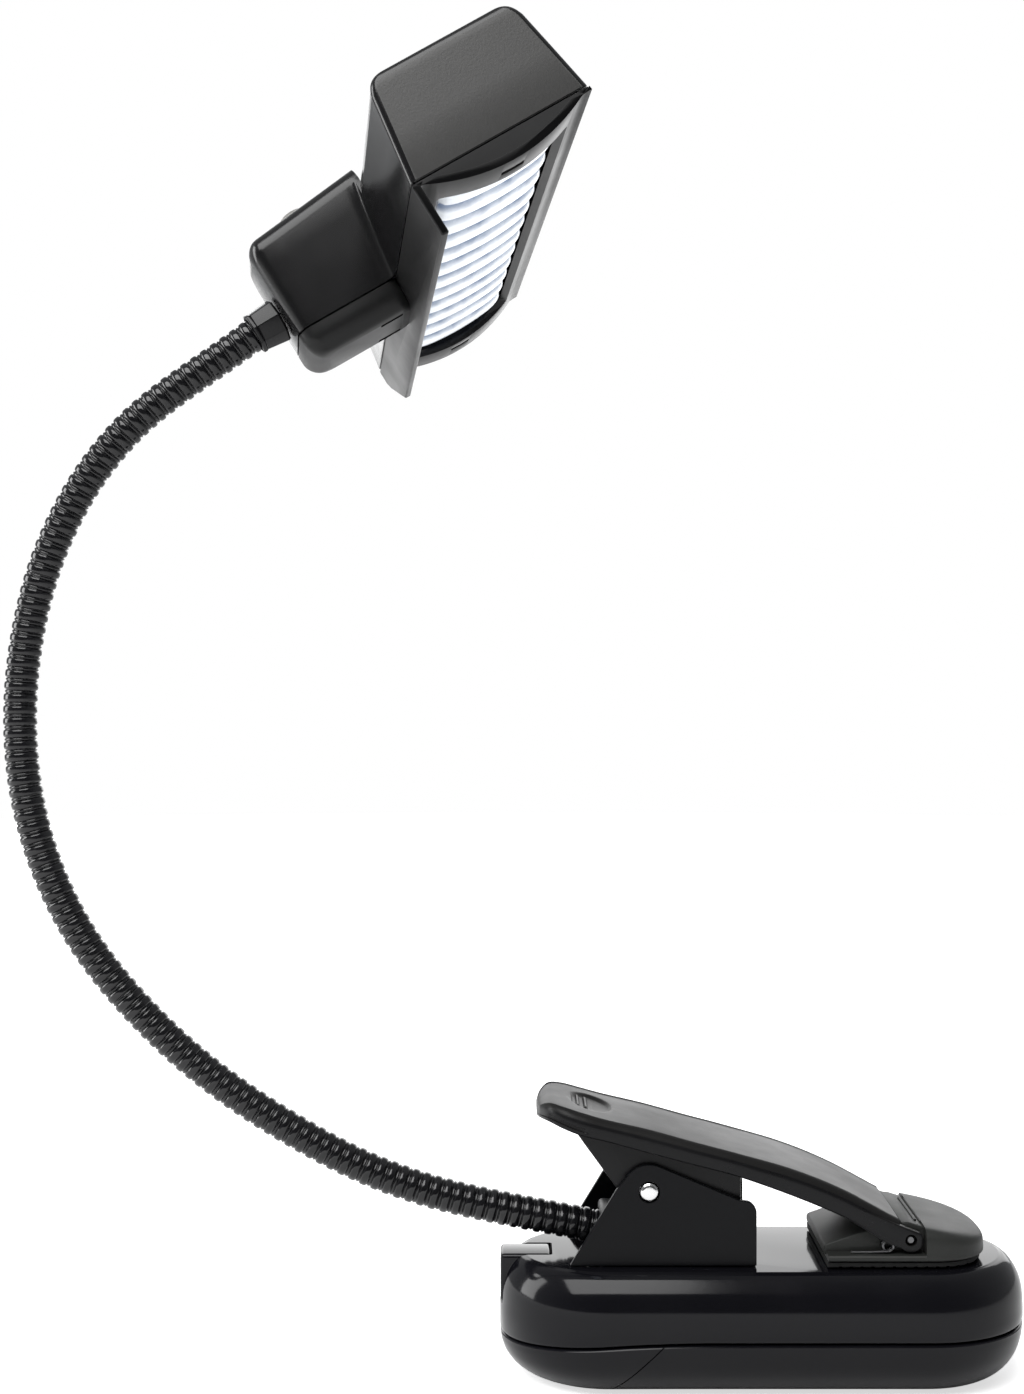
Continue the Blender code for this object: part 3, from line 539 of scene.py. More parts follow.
def parting(x):
    """Height of the seam between the base's shells; it dips towards the neck's end."""
    share = max(0.0, PARTING_FLAT_X - x) / (BASE_HALF_LENGTH + PARTING_FLAT_X)
    return PARTING_HEIGHT - PARTING_DIP * share**2


def pill(inset, height, steps=40, straight_steps=16):
    """A pill-shaped ring; the height is a number or a function of x."""
    radius = BASE_HALF_WIDTH - inset
    straight = BASE_HALF_LENGTH - BASE_HALF_WIDTH
    spread = [straight * (1 - 2 * i / straight_steps) for i in range(1, straight_steps)]
    ring = arc((straight, 0), radius, -90, 90, steps) + [(x, radius) for x in spread]
    ring += arc((-straight, 0), radius, 90, 270, steps) + [(-x, -radius) for x in spread]
    return [(x, y, height(x) if callable(height) else height) for x, y in ring]


def above_seam(rise):
    return lambda x: parting(x) + rise


def share_of_parting(share):
    return lambda x: parting(x) * share


def upper_shell():
    """The base's glossy upper half, with a flat top plate and a notch for the power inlet."""
    edge = ((0.55, SEAM), (0.2, SEAM + 0.2), (0.02, SEAM + 0.7))
    outside = [pill(inset, above_seam(height)) for inset, height in edge]
    shoulder = ((0, 13), (0.2, 16.5), (0.9, 19.2), (2.2, 21.4), (3.4, 22.5))
    shoulder = (*shoulder, (4.3, BASE_HEIGHT - 0.08))
    outside += [pill(max(inset, 0), z) for inset, z in curve_through(shoulder, 4)]
    outside += [pill(4.45, BASE_HEIGHT - 0.02), pill(4.7, BASE_HEIGHT)]
    inside = [pill(5.5, 20.9), pill(2, 18.5), pill(2, above_seam(SEAM))]
    mesh = cup(outside, inside)
    inlet_low, inlet_high = node_box("power_inlet")
    room = 0.3
    notch_low = (-51, inlet_low.y - room, inlet_low.z - room)
    notch_high = (inlet_high.x + room, inlet_high.y + room, 24)
    notch = box(notch_low, notch_high)
    mesh = combine(mesh, soften(notch, 0.6, 3))
    holes = merge(*[rod((-8, y, 18), (-8, y, 25), 1.3, 24) for y in (-6.5, 6.5)])
    mesh = combine(mesh, holes)
    nodes = ["base_top_shell"]
    piece("base_upper", mesh, GLOSS_BLACK, "gloss_black_shell", "base", nodes, angle=30)


def lower_half():
    """The base's rounded lower half, before it is split into the fixed shell and the cover."""
    outside = [pill(0.55, above_seam(-SEAM)), pill(0.2, above_seam(-SEAM - 0.2))]
    side = ((0.1, 0.95), (0.3, 0.78), (1.0, 0.55), (2.3, 0.34), (4.2, 0.17))
    side = (*side, (6.4, 0.06), (8.8, 0.0))
    for inset, share in curve_through(side, 4):
        outside.append(pill(max(inset, 0.02), share_of_parting(max(share, 0.0))))
    inside = [pill(10.5, 1.6), pill(4.6, 3.0)]
    inside += [pill(2.6, share_of_parting(0.62)), pill(2, above_seam(-SEAM))]
    return cup(outside, inside)


def cover_side(left):
    """The space on one side of the slanted seam between the lower shell and the battery cover."""
    far = -60 if left else 60
    seam_x = node_box("battery_cover")[0].x
    near = -2 * SEAM if left else 0.0
    low, high = seam_x - 2 + near, seam_x + 16 + near
    return prism(((far, -2), (low, -2), (high, 16), (far, 16)), -30, 30)


def lower_shells():
    fixed = combine(lower_half(), cover_side(left=True), "INTERSECT")
    wells = merge(*[rod((-36, y, -1), (-36, y, 4), 1.9, 24) for y in (-7, 7)])
    fixed = combine(fixed, wells)
    nodes = ["base_bottom_shell"]
    piece("base_lower", fixed, GLOSS_BLACK, "gloss_black_shell", "base", nodes, angle=30)
    cover = combine(lower_half(), cover_side(left=False), "INTERSECT")
    nodes = ["battery_cover"]
    piece("cover_shell", cover, GLOSS_BLACK, "gloss_black_shell", "battery_door", nodes, angle=30)


def inlet():
    """The power socket in the notch: a softened block with a round hole and its centre pin."""
    low, high = node_box("power_inlet")
    block = soften(box(low, high), 0.7, 4)
    socket = turned((low.x - 1, 0, 18), (-43, 0, 18), ((0, 2.3), (0.22, 1.9), (1, 1.9)))
    block = combine(block, socket)
    pin = turned((low.x + 1.2, 0, 18), (-42.5, 0, 18), ((0, 0.25), (0.05, 0.5), (1, 0.5)), 16)
    piece("inlet_block", block, GLOSS_BLACK, "matte_black", "base", ["power_inlet"], angle=30)
    piece("inlet_pin", pin, STEEL, "bright_steel", "base")


# ---------------------------------------------------------------- clip


def bracket():
    """The two ears that carry the pivot, joined by a floor under the clip's throat."""
    outline = [(-36.9, STAND_Z), (-28.2, 37.4), *arc((PIVOT.x, PIVOT.z), 5.1, 155, 70, 20)[1:]]
    outline += [(-5.3, 35.4), *arc((-4.4, 33.0), 2.3, 70, 0, 8), (-2.1, STAND_Z)]
    inner = EAR_OUTER - EAR_THICKNESS
    mesh = prism(outline, -EAR_OUTER, -inner)
    mesh = combine(mesh, prism(outline, inner, EAR_OUTER), "UNION")
    floor = box((-14, -EAR_OUTER + 0.5, STAND_Z), (-2.1, EAR_OUTER - 0.5, STAND_Z + 1))
    mesh = combine(mesh, floor, "UNION")
    mesh = combine(mesh, rod((PIVOT.x, -20, PIVOT.z), (PIVOT.x, 20, PIVOT.z), 1.95))
    mesh = combine(mesh, merge(*[rod((-8, y, 22), (-8, y, 26), 1.3, 24) for y in (-6.5, 6.5)]))
    soften(mesh, 0.22, 2)
    piece("bracket_ears", mesh, SATIN_BLACK, "satin_black", "base", ["clip_bracket"], weighted=True)


def pins():
    """The pivot pin with its riveted ends, and the jaw's thin pin."""
    reach = node_box("pivot_pin")[1].y
    ends = ((0, 1.0), (0.004, 1.45), (0.012, 1.65), (0.988, 1.65), (0.996, 1.45), (1, 1.0))
    pin = turned((PIVOT.x, -reach, PIVOT.z), (PIVOT.x, reach, PIVOT.z), ends)
    piece("pivot_rivet", pin, STEEL, "bright_steel", "base", ["pivot_pin"])
    reach = node_box("jaw_pin")[1].y
    ends = ((0, 0.55), (0.008, 0.8), (0.992, 0.8), (1, 0.55))
    pin = turned((JAW_PIN.x, -reach, JAW_PIN.z), (JAW_PIN.x, reach, JAW_PIN.z), ends, 24)
    piece("jaw_rivet", pin, DARK_STEEL, "bright_steel", "jaw", ["jaw_pin"])


LEVER_STATIONS = (
    (-43.0, 4.6, 50.6, 1.0, 0.9),
    (-42.3, 7.8, 52.0, 2.3, 2.2),
    (-40.6, 11.2, 53.0, 3.4, 3.2),
    (-38.0, 13.2, 52.6, 3.9, 1.8),
    (-34.5, 13.9, 51.6, 4.1, 1.6),
    (-29.8, 14.0, 50.3, 3.9, 1.6),
    (-22.0, 14.0, 48.5, 4.2, 1.6),
    (-14.0, 14.0, 46.3, 4.1, 1.6),
    (-5.3, 14.0, 44.0, 4.1, 1.6),
    (5.1, 14.0, 41.0, 4.8, 1.6),
    (14.5, 14.0, 37.2, 4.9, 1.6),
    (24.5, 14.0, 31.9, 4.3, 1.6),
)
RECESS_X, RECESS_HALF_X, RECESS_HALF_Y, RECESS_DEPTH = -32.9, 4.4, 7.4, 0.85
RIDGE_PITCH = 1.5
GROOVE_END_X, GROOVE_DEPTH = -33.5, 0.45


def recess_drop(x, y):
    """How far the finger recess lowers the lever's top, less the short ridges in its left half."""
    reach = math.hypot((x - RECESS_X) / RECESS_HALF_X, y / RECESS_HALF_Y)
    bowl = smooth_step((1 - reach) / 0.16) * (0.72 + 0.28 * smooth_step(1 - reach))
    ridge_zone = smooth_step((RECESS_X + 0.5 - x) / 0.3) * smooth_step((5.0 - abs(y)) / 0.5)
    wave = 0.5 - 0.5 * math.cos(2 * math.pi * (x - RECESS_X) / RIDGE_PITCH)
    return RECESS_DEPTH * bowl * (1 - 0.75 * ridge_zone * smooth_step((wave - 0.25) / 0.5))


def lever_section(x, half_width, top, skirt, roof):
    """A cross-section of the lever: a shallow channel, open below, with rounded shoulders."""
    w = half_width
    inner = half_width - LEVER_WALL
    round_r = min(2.2, skirt * 0.5)
    groove = GROOVE_DEPTH * smooth_step((GROOVE_END_X - x) / 1.5)
    low, span = top - skirt + 0.25, skirt - 0.25 - round_r
    side = ((0, 0), (0.26, 0), (0.34, groove), (0.62, groove), (0.7, 0))
    side = [(w - inset, low + span * share) for share, inset in side]
    left = [(-y, z) for y, z in side] + arc((-w + round_r, top - round_r), round_r, 180, 90, 8)
    reach = w - round_r
    across = [(-reach + 2 * reach * i / 56, top) for i in range(1, 56)]
    right = arc((w - round_r, top - round_r), round_r, 90, 0, 8) + side[::-1]
    under = [(w - 0.25, top - skirt), (inner, top - skirt), (inner, top - roof)]
    under += [(-inner, top - roof), (-inner, top - skirt), (-w + 0.25, top - skirt)]
    ring = left + across + right + under
    crown = 0.35
    points = []
    for y, z in ring:
        if z > top - 0.01:
            z -= recess_drop(x, y) + crown * (abs(y) / w) ** 3
        points.append((x, y, z))
    return points


def lever_stations():
    """The lever's cross-sections at a finer pitch, finest round its nose and finger recess."""
    fine = curve_through(LEVER_STATIONS, 40)
    wanted, last = [], -100.0
    for station in fine:
        x = station[0]
        pitch = 0.12 if x < -40 else 0.22 if x < -27.5 else 0.9
        if x - last >= pitch or station == fine[-1]:
            wanted.append(station)
            last = x
    return wanted


def lever():
    mesh = loft([lever_section(*station) for station in lever_stations()])
    web = [(-35.6, 50.2), (-35.6, 47.6), (-34.2, 45.6), (-27.6, 36.6)]
    web += arc((PIVOT.x, PIVOT.z), 4.2, 195, 270, 12)
    web += [(-4.9, 33.5), (-4.9, 42.9), (-14, 45.4), (-29.8, 49.4)]
    lug = [(14.0, 32.6), (22.5, 27.4), *arc((JAW_PIN.x, JAW_PIN.z), 2.3, 220, 395, 20)]
    lug += [(24.0, 31.2), (14.0, 35.4)]
    for y in (-1, 1):
        plate = soften(prism(web, y * WEB_OUTER, y * (WEB_OUTER - LEVER_WALL)), 0.2)
        mesh = combine(mesh, plate, "UNION")
        ear = prism(lug, y * (LEVER_HALF_WIDTH - 0.02), y * (LEVER_HALF_WIDTH - LEVER_WALL))
        ear = soften(ear, 0.2)
        mesh = combine(mesh, ear, "UNION")
    for at, radius in ((PIVOT, 1.95), (JAW_PIN, 1.1)):
        mesh = combine(mesh, rod((at.x, -20, at.z), (at.x, 20, at.z), radius))
    # Faces that do not face up take the darker copy of the lever's plastic as painted shade.
    sides = {"other": LEVER_SIDE_PAINTED_SHADE, "where": lambda face: face.normal.z < 0.35}
    nodes = ["clip_lever"]
    piece("lever_shell", mesh, LEVER_BLACK, "satin_black", "lever", nodes, angle=34, **sides)


def clip_spring():
    """The clip's torsion spring: one continuous coil, whose legs reach the base and the lever."""
    radius, half_span, steps = 3.2, 8.6, 300
    first, last = 150, 215 - 8 * 360
    points = [(-33.6, -half_span, STAND_Z + 0.85), (-33.2, -half_span, STAND_Z + 1.0)]
    for k in range(steps + 1):
        angle = math.radians(first + (last - first) * k / steps)
        y = -half_span + 2 * half_span * k / steps
        points.append((PIVOT.x + radius * math.cos(angle), y, PIVOT.z + radius * math.sin(angle)))
    points.append((-34.5, half_span, 47.6))
    obj = piece("clip_spring", wire(points, 0.55, 10), SPRING_STEEL, "bright_steel")
    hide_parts("clip_spring_base_leg", "clip_spring_lever_leg")
    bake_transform(obj)


FLANGE = 25.6
JAW_NOSE_CENTRE_X = 29.5
JAW_NOSE_REACH = 12.6
JAW_NOSE_POWER = 0.78


def jaw_ring(inset, height, start_x=11.0):
    """A ring with a straight left edge and a rounded right end."""
    w, reach, steps = JAW_HALF_WIDTH - inset, JAW_NOSE_REACH - inset, 48
    nose = []
    for i in range(steps + 1):
        turn = math.pi * i / steps
        out, side = math.sin(turn) ** JAW_NOSE_POWER, abs(math.cos(turn)) ** JAW_NOSE_POWER
        nose.append((JAW_NOSE_CENTRE_X + reach * out, math.copysign(w * side, -math.cos(turn))))
    ring = [(start_x, -w), *nose, (start_x, w)]
    return [(x, y, height(x) if callable(height) else height) for x, y in ring]


def dome(share):
    """Height of the jaw's dome at a share of its rise."""
    return lambda x: FLANGE + share * (5.0 - 0.2 * (x - 29.2))


def jaw():
    low = STAND_Z + 1.3
    edge = ((0.3, low), (0.02, low + 0.25), (0, FLANGE - 0.3), (0.25, FLANGE))
    flange = [jaw_ring(*step) for step in edge]
    mesh = loft(flange)
    ridge = [(10.6, FLANGE - 0.6), (10.6, 26.8), (19, 29.7), (21.5, 29.3)]
    ridge += [(24.9, 28.85), (25.0, 31.1)]
    ridge += [(26.5, 31.0), (32, 29.3), (32, FLANGE - 0.6)]
    body = soften(prism(ridge, -RIDGE_HALF_WIDTH, RIDGE_HALF_WIDTH), 0.3, 3)
    mesh = combine(mesh, body, "UNION")
    profile = ((0.05, 0.25), (0.12, 0.5), (0.4, 0.72), (0.95, 0.86), (1.9, 0.95))
    profile = (*profile, (3.4, 0.985), (6.0, 1.0))
    rings = [jaw_ring(0.02, FLANGE - 0.5, 29.2)]
    rings += [jaw_ring(inset, dome(share), 29.2) for inset, share in curve_through(profile, 3)]
    mesh = combine(mesh, loft(rings), "UNION")
    ribs = []
    for i in range(3):
        x = 28.2 + 1.1 * i
        top = 30.85 - 0.25 * (x - 28.2)
        steps = ((-0.3, 1.2), (-0.22, 0.1), (0, 0), (0.22, 0.1), (0.3, 1.2))
        tooth = [(x + out, top - drop) for out, drop in steps]
        ribs.append(prism(tooth, -8.5, 8.5))
    mesh = combine(mesh, merge(*ribs), "UNION")
    mesh = combine(mesh, rod((JAW_PIN.x, -20, JAW_PIN.z), (JAW_PIN.x, 20, JAW_PIN.z), 1.1, 24))
    piece("jaw_body", mesh, JAW_BLACK, "matte_black", "jaw", ["jaw"], angle=34)


def jaw_rubber():
    """The ribbed rubber pad under the jaw."""
    low = STAND_Z
    edge = ((1.2, 0.0), (0.9, 0.08), (0.7, 0.3), (0.7, 1.0))
    mesh = loft([jaw_ring(inset, low + rise) for inset, rise in edge])
    grooves = [box((x, -20, low - 1), (x + 0.7, 20, low + 0.35)) for x in range(13, 42, 2)]
    mesh = combine(mesh, merge(*grooves))
    piece("jaw_rubber_pad", mesh, RUBBER, "rubber_pad", "jaw", ["jaw_pad"], angle=30)


def jaw_spring():
    """The small coil by the jaw's pin, with a leg lying on the jaw's edge."""
    centre_x, centre_z, radius, turns = 22.3, 27.0, 0.95, 3.25
    points = [(15.4, -13.2, FLANGE + 0.25), (18.6, -13.3, FLANGE + 0.28)]
    steps = 60
    for k in range(steps + 1):
        angle = math.radians(-100) + 2 * math.pi * turns * k / steps
        y = -13.6 + 1.5 * k / steps
        points.append((centre_x + radius * math.cos(angle), y, centre_z + radius * math.sin(angle)))
    piece("jaw_spring", wire(points, 0.24, 8), DARK_STEEL, "bright_steel", "jaw")


# ---------------------------------------------------------------- neck

ROUTE = [Vector(point) for point in curve_through(NECK_ROUTE, 24)]
NECK_LENGTH = sum((b - a).length for a, b in zip(ROUTE, ROUTE[1:]))
NECK_BODIES = ("base", "neck_2", "neck_3", "neck_4", "neck_5", "neck_6")
NECK_TAIL = 0.5
RIB_COUNT = round(NECK_LENGTH / 2.27)
RIB_PITCH = (NECK_LENGTH + NECK_TAIL) / RIB_COUNT


def rib_profile():
    """One pitch of the sleeve as (share of it, drop below the outside): a wide rib, a thin one."""
    drop, rib = 0.36, 0.66
    points = [(0.0, drop)]
    for i in range(1, 10):
        u = i / 10
        points.append((u * rib, drop - drop * (1 - abs(2 * u - 1) ** 3) ** 0.5))
    points += [(rib, drop), (0.72, drop + 0.04), (0.77, 0.22), (0.89, 0.22)]
    return points + [(0.94, drop + 0.04)]


def neck_lengths():
    """Five ribbed lengths of sleeve; they meet at grooves."""
    segment = NECK_LENGTH / len(NECK_BODIES)
    breaks = [0] + [round((i + 0.5) * segment / RIB_PITCH) for i in range(1, 5)] + [RIB_COUNT]
    profile = rib_profile()
    up, sides, bore = Vector((0, 1, 0)), 30, 1.9
    for i in range(5):
        outer, inner = [], []
        ribs = range(breaks[i], breaks[i + 1])
        stations = [(k + share, drop) for k in ribs for share, drop in profile]
        stations.append((breaks[i + 1], profile[0][1]))
        for rib, drop in stations:
            centre, direction = along(ROUTE, rib * RIB_PITCH)
            side = direction.cross(up).normalized()
            other = side.cross(direction).normalized()
            turns = (2 * math.pi * k / sides for k in range(sides))
            spokes = [math.cos(t) * side + math.sin(t) * other for t in turns]
            outer.append([centre + (NECK_RADIUS - drop) * spoke for spoke in spokes])
            inner.append([centre + bore * spoke for spoke in spokes])
        nodes = [f"gooseneck_{i + 1}"] + (["gooseneck_6"] if i == 4 else [])
        mesh = loft(outer + inner[:: -len(profile)], closed=True)
        sleeve = piece(f"neck_sleeve_{i + 1}", mesh, SLEEVE_BLACK, "neck_sleeve", angle=60)
        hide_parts(*nodes)
        start = along(ROUTE, (i + 0.5) * segment)[0] * MM
        end = along(ROUTE, (i + 1.5) * segment)[0] * MM
        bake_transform(sleeve)


def ferrule():
    """The block that holds the neck's foot between the ears."""
    low, high = node_box("neck_ferrule")
    block = soften(box(low, high), 0.9, 4)
    start, direction = along(ROUTE, 0)
    mouth = ((0, NECK_RADIUS + 0.3), (0.6, NECK_RADIUS + 0.3), (1, NECK_RADIUS + 0.9))
    block = combine(block, turned(start - direction * 0.3, start + direction * 9, mouth))
    piece("neck_foot", block, SATIN_BLACK, "matte_black", "base", ["neck_ferrule"], angle=30)


# ---------------------------------------------------------------- head, in its own frame: l, w, f


def plate_ring(half_l, low_w, high_w, f, corner=1.4, steps=8):
    """A rectangle with rounded corners in the head's l, w plane."""
    ring = []
    corners = [(half_l, high_w, 0), (-half_l, high_w, 90), (-half_l, low_w, 180)]
    corners += [(half_l, low_w, 270)]
    for l, w, start in corners:
        centre = (l - math.copysign(corner, l), w - math.copysign(corner, w - (low_w + high_w) / 2))
        ring += arc(centre, corner, start, start + 90, steps)
    return [(l, w, f) for l, w in ring]


def side_at(f):
    """Half the head's width at a depth behind the seam."""
    return HEAD_HALF_FRONT + (HEAD_HALF_BACK - HEAD_HALF_FRONT) * (-f / HEAD_DEPTH)


def even_ring(inset_l, inset_w, f, corner=1.4):
    """A ring of the head's rear shell at a depth, set in from its ends and sides."""
    w = side_at(f) - inset_w
    return plate_ring(HEAD_HALF_LENGTH - inset_l, -w, w, f, corner)


def housing_rear():
    """The switch housing's rear half, drawn out across the head and flared where they meet."""
    half, front, round_back, round_end, flare = HOUSING_HALF_DEPTH, -SEAM, 3.2, 2.6, 2.4
    rings = []
    shares = [1 - math.cos(math.pi / 2 * i / 8) for i in range(9)]
    stops = [(round_end * share, 0.0) for share in shares]
    stops += [(round_end, t) for t in (0.15, 0.3, 0.45, 0.6, 0.7)]
    stops += [(round_end, 0.76 + 0.02 * i) for i in range(13)]

    def place_w(f, start, t):
        """The w of a point at a depth and a share of the way into the head's side."""
        low, high = HOUSING_LEFT + start, 0.9 - side_at(max(f, -HEAD_DEPTH))
        return low + t * (high - low)

    for start, t in stops:
        inset = round_end - math.sqrt(max(0, round_end**2 - max(0, round_end - start) ** 2))
        reach = place_w(-HEAD_DEPTH, start, t) - HOUSING_LEFT
        top = HOUSING_BACK_F * (1 + HOUSING_SLOPE * reach / HOUSING_LENGTH) + inset
        h = half - inset
        outline = [(h, front), (h, (front + top) / 3), (h, (front + 2 * top) / 3)]
        outline += arc((h - round_back, top + round_back), round_back, 0, -90, 10)
        outline += [(h * 0.3, top), (-h * 0.3, top)]
        outline += arc((-h + round_back, top + round_back), round_back, -90, -180, 10)
        outline += [(-h, (front + 2 * top) / 3), (-h, (front + top) / 3), (-h, front)]
        ring = []
        for l, f in outline:
            w = place_w(f, start, t)
            gap = max(0.0, -side_at(max(f, -HEAD_DEPTH)) - w)
            spread = flare - math.sqrt(max(0, flare**2 - max(0, flare - gap) ** 2))
            spread *= min(1, abs(l) / 6) * smooth_step((f + HEAD_DEPTH + 1) / 5)
            ring.append((l + math.copysign(spread, l), w, f))
        rings.append(ring)
    return loft(rings)


def on_end_cap(face):
    """Whether a face of the head's shell lies on one of its flat end caps."""
    middle = face.calc_center_median()
    inside = -HEAD_DEPTH + 1.6 < middle.z < -1.4 and abs(middle.y) < side_at(middle.z) - 1.2
    return abs(face.normal.x) > 0.98 and abs(middle.x) > HEAD_HALF_LENGTH - 2 and inside


def rear_shell():
    """The head's hollow rear shell, joined to the housing and bored for the button and the lead."""
    depth, wall = HEAD_DEPTH, HEAD_WALL
    outside = [even_ring(0.12, 0.12, -SEAM), even_ring(0, 0, -SEAM - 0.2), even_ring(0.3, 0, -9)]
    knots = [(0.7, 0, -depth + 3.4), (0.8, 0.3, -depth + 2.1), (1.05, 0.85, -depth + 1)]
    knots += [(1.5, 1.7, -depth + 0.3), (2.2, 2.9, -depth)]
    outside += [even_ring(*knot) for knot in curve_through(knots, 4)]
    inside = [even_ring(4.5, 4.5, -depth + wall), even_ring(2.5, wall, -depth + 3.6)]
    inside.append(even_ring(wall, wall, -SEAM))
    mesh = combine(cup(outside, inside), housing_rear(), "UNION")
    back, deep, left = HOUSING_BACK_F, HOUSING_HALF_DEPTH, HOUSING_LEFT
    stages = ((2.2, back + 1.8), (1.8, back + 3.4), (1.8, 1))
    room = [plate_ring(deep - inset, left + inset, -14.6, f, 1.2) for inset, f in stages]
    mesh = combine(mesh, loft(room))
    rim = ((0, BUTTON_RADIUS + 1.4), (0.33, BUTTON_RADIUS + 0.3), (1, BUTTON_RADIUS + 0.3))
    well = turned((0, BUTTON_W, BUTTON_TOP_F - 0.6), (0, BUTTON_W, back + 4), rim, 48)
    mesh = combine(mesh, well)
    mesh = combine(mesh, rod((0, left - 2, NECK_AXIS_F), (0, left + 4, NECK_AXIS_F), 1.6))
    nodes = ["head_rear_shell"]
    cap = {"angle": 34, "other": CAP_GREY, "where": on_end_cap}
    piece("head_back_shell", mesh, HEAD_BLACK, "matte_black", "head", nodes, HEAD_PLACE, **cap)


def arch_height(w, inset=0.0):
    """Height of the bezel's arched face across the head."""
    return ARCH_RISE * (1 - (w / HEAD_HALF_FRONT) ** 2) - inset


def arch_line(inset, steps=36, low=0.0):
    """The bezel's arched line across the head, at an inset below the outside."""
    half = HEAD_HALF_FRONT - inset
    points = []
    for i in range(steps + 1):
        w = -half + 2 * half * i / steps
        drop = inset * 0.9 if abs(w) < half else 0.0
        points.append((w, max(arch_height(w, drop), low)))
    return points


def bezel_band():
    """The arched front, with solid end bars and a recessed window."""
    outer, inner = arch_line(0, low=0.9), arch_line(1.6, low=SEAM)
    half, length = HEAD_HALF_FRONT, HEAD_HALF_LENGTH
    band = [(-half + 0.1, SEAM), *outer, (half - 0.1, SEAM), *inner[::-1]]
    mesh = drawn_out(band, -length, length)
    wall = [(-half + 0.4, SEAM), *[(w * 0.97, f - 0.3) for w, f in outer], (half - 0.4, SEAM)]
    for end in (-1, 1):
        low, high = sorted((end * (length - 0.02), end * (length - 7)))
        mesh = combine(mesh, drawn_out(wall, low, high), "UNION")
    stages = ((-2, 11.6, 0), (0.9, 11.6, 0), (2.6, 13.9, 1.2), (9, 13.9, 1.2))
    window = WINDOW_HALF_LENGTH
    rings = [plate_ring(window + more, -w, w, f, 0.8, 5) for f, w, more in stages]
    mesh = combine(mesh, loft(rings))
    for end in (-1, 1):
        slot_l = end * (length - 4.6)
        slot = box((slot_l - 0.75, -2.3, 3.2), (slot_l + 0.75, 2.3, 6))
        mesh = combine(mesh, soften(slot, 0.3))
    return soften(mesh, 0.3, 3, 35)


def on_bezel_end(face):
    """Whether a face lies on one of the bezel's flat ends, which take a darker copy of the bezel's
    plastic as painted shade.
    """
    return abs(face.normal.x) > 0.98 and abs(face.calc_center_median().x) > HEAD_HALF_LENGTH - 0.4


def front_bezel():
    """The bezel with its side visor and the housing's front half."""
    mesh = bezel_band()
    half, length = HEAD_HALF_FRONT, HEAD_HALF_LENGTH
    visor = [(-length, 0.4), (length, 0.4), (length, 3.4), (length - 1.5, 5.0)]
    visor += [(length - 10, VISOR_REACH), (-length, VISOR_REACH)]
    plate = loft([[(l, w, f) for l, f in visor] for w in (-half - 0.02, -half + 1.4)])
    mesh = combine(mesh, soften(plate, 0.3, 3), "UNION")
    deep, front, right = HOUSING_HALF_DEPTH, HOUSING_FRONT_F, -half + 0.6
    levels = ((0, SEAM + 0.2), (0, 2.2), (0.25, 3.4), (0.9, 4.6), (2.0, 5.6), (3.6, front))
    levels = [(0.15, SEAM), *curve_through(levels, 3)]
    rings = [plate_ring(deep - inset, HOUSING_LEFT + inset, right, f, 2.6) for inset, f in levels]
    mesh = combine(mesh, loft(rings), "UNION")
    inside = (deep - HEAD_WALL, HOUSING_LEFT + HEAD_WALL, -half - 1.5)
    mesh = combine(mesh, loft([plate_ring(*inside, f, 1.2) for f in (-1, front - HEAD_WALL)]))
    for l in (-5.2, 5.2):
        slot = box((l - 0.7, -half - 6.6, front - 1.2), (l + 0.7, -half - 1.6, front + 1))
        mesh = combine(mesh, soften(slot, 0.3))
    nodes = ["head_front_bezel"]
    # The bezel's flat ends take the darker copy of its plastic as painted shade.
    ends = {"angle": 34, "other": BEZEL_END_PAINTED_SHADE, "where": on_bezel_end}
    piece("head_bezel", mesh, BEZEL_BLACK, "matte_black", "head", nodes, HEAD_PLACE, **ends)


def lens():
    """The clear lens: a row of rounded ribs across the head, arched from side to side."""
    half_l, pitch = LENS_HALF_LENGTH, 2 * LENS_HALF_LENGTH / LENS_RIBS
    groove_reach, rib_reach, arch_reach = 10.6, 0.8, 12.6
    per_rib, across = 14, 36
    rings = []
    for i in range(LENS_RIBS * per_rib + 1):
        u = (i % per_rib) / per_rib
        swell = max(0.0, 1 - abs(2 * u - 1) ** 2) ** 0.6
        reach = groove_reach + rib_reach * swell
        top, under = [], []
        for k in range(across + 1):
            w = -reach + 2 * reach * k / across
            edge = math.sqrt(max(0.0, 1 - (w / reach) ** 8))
            arch = 0.6 + 1.3 * (1 - (w / arch_reach) ** 2)
            f = 0.2 + (arch + 1.5 * swell - 0.2) * (0.25 + 0.75 * edge)
            top.append((w, f))
            under.append((w, 0.1 + 0.4 * (1 - (w / arch_reach) ** 2)))
        l = -half_l + pitch * i / per_rib
        rings.append([(l, w, f) for w, f in top + under[::-1]])
    piece("lens_ribbed", loft(rings), LENS, "clear_lens", "head", ["lens"], HEAD_PLACE, angle=50)


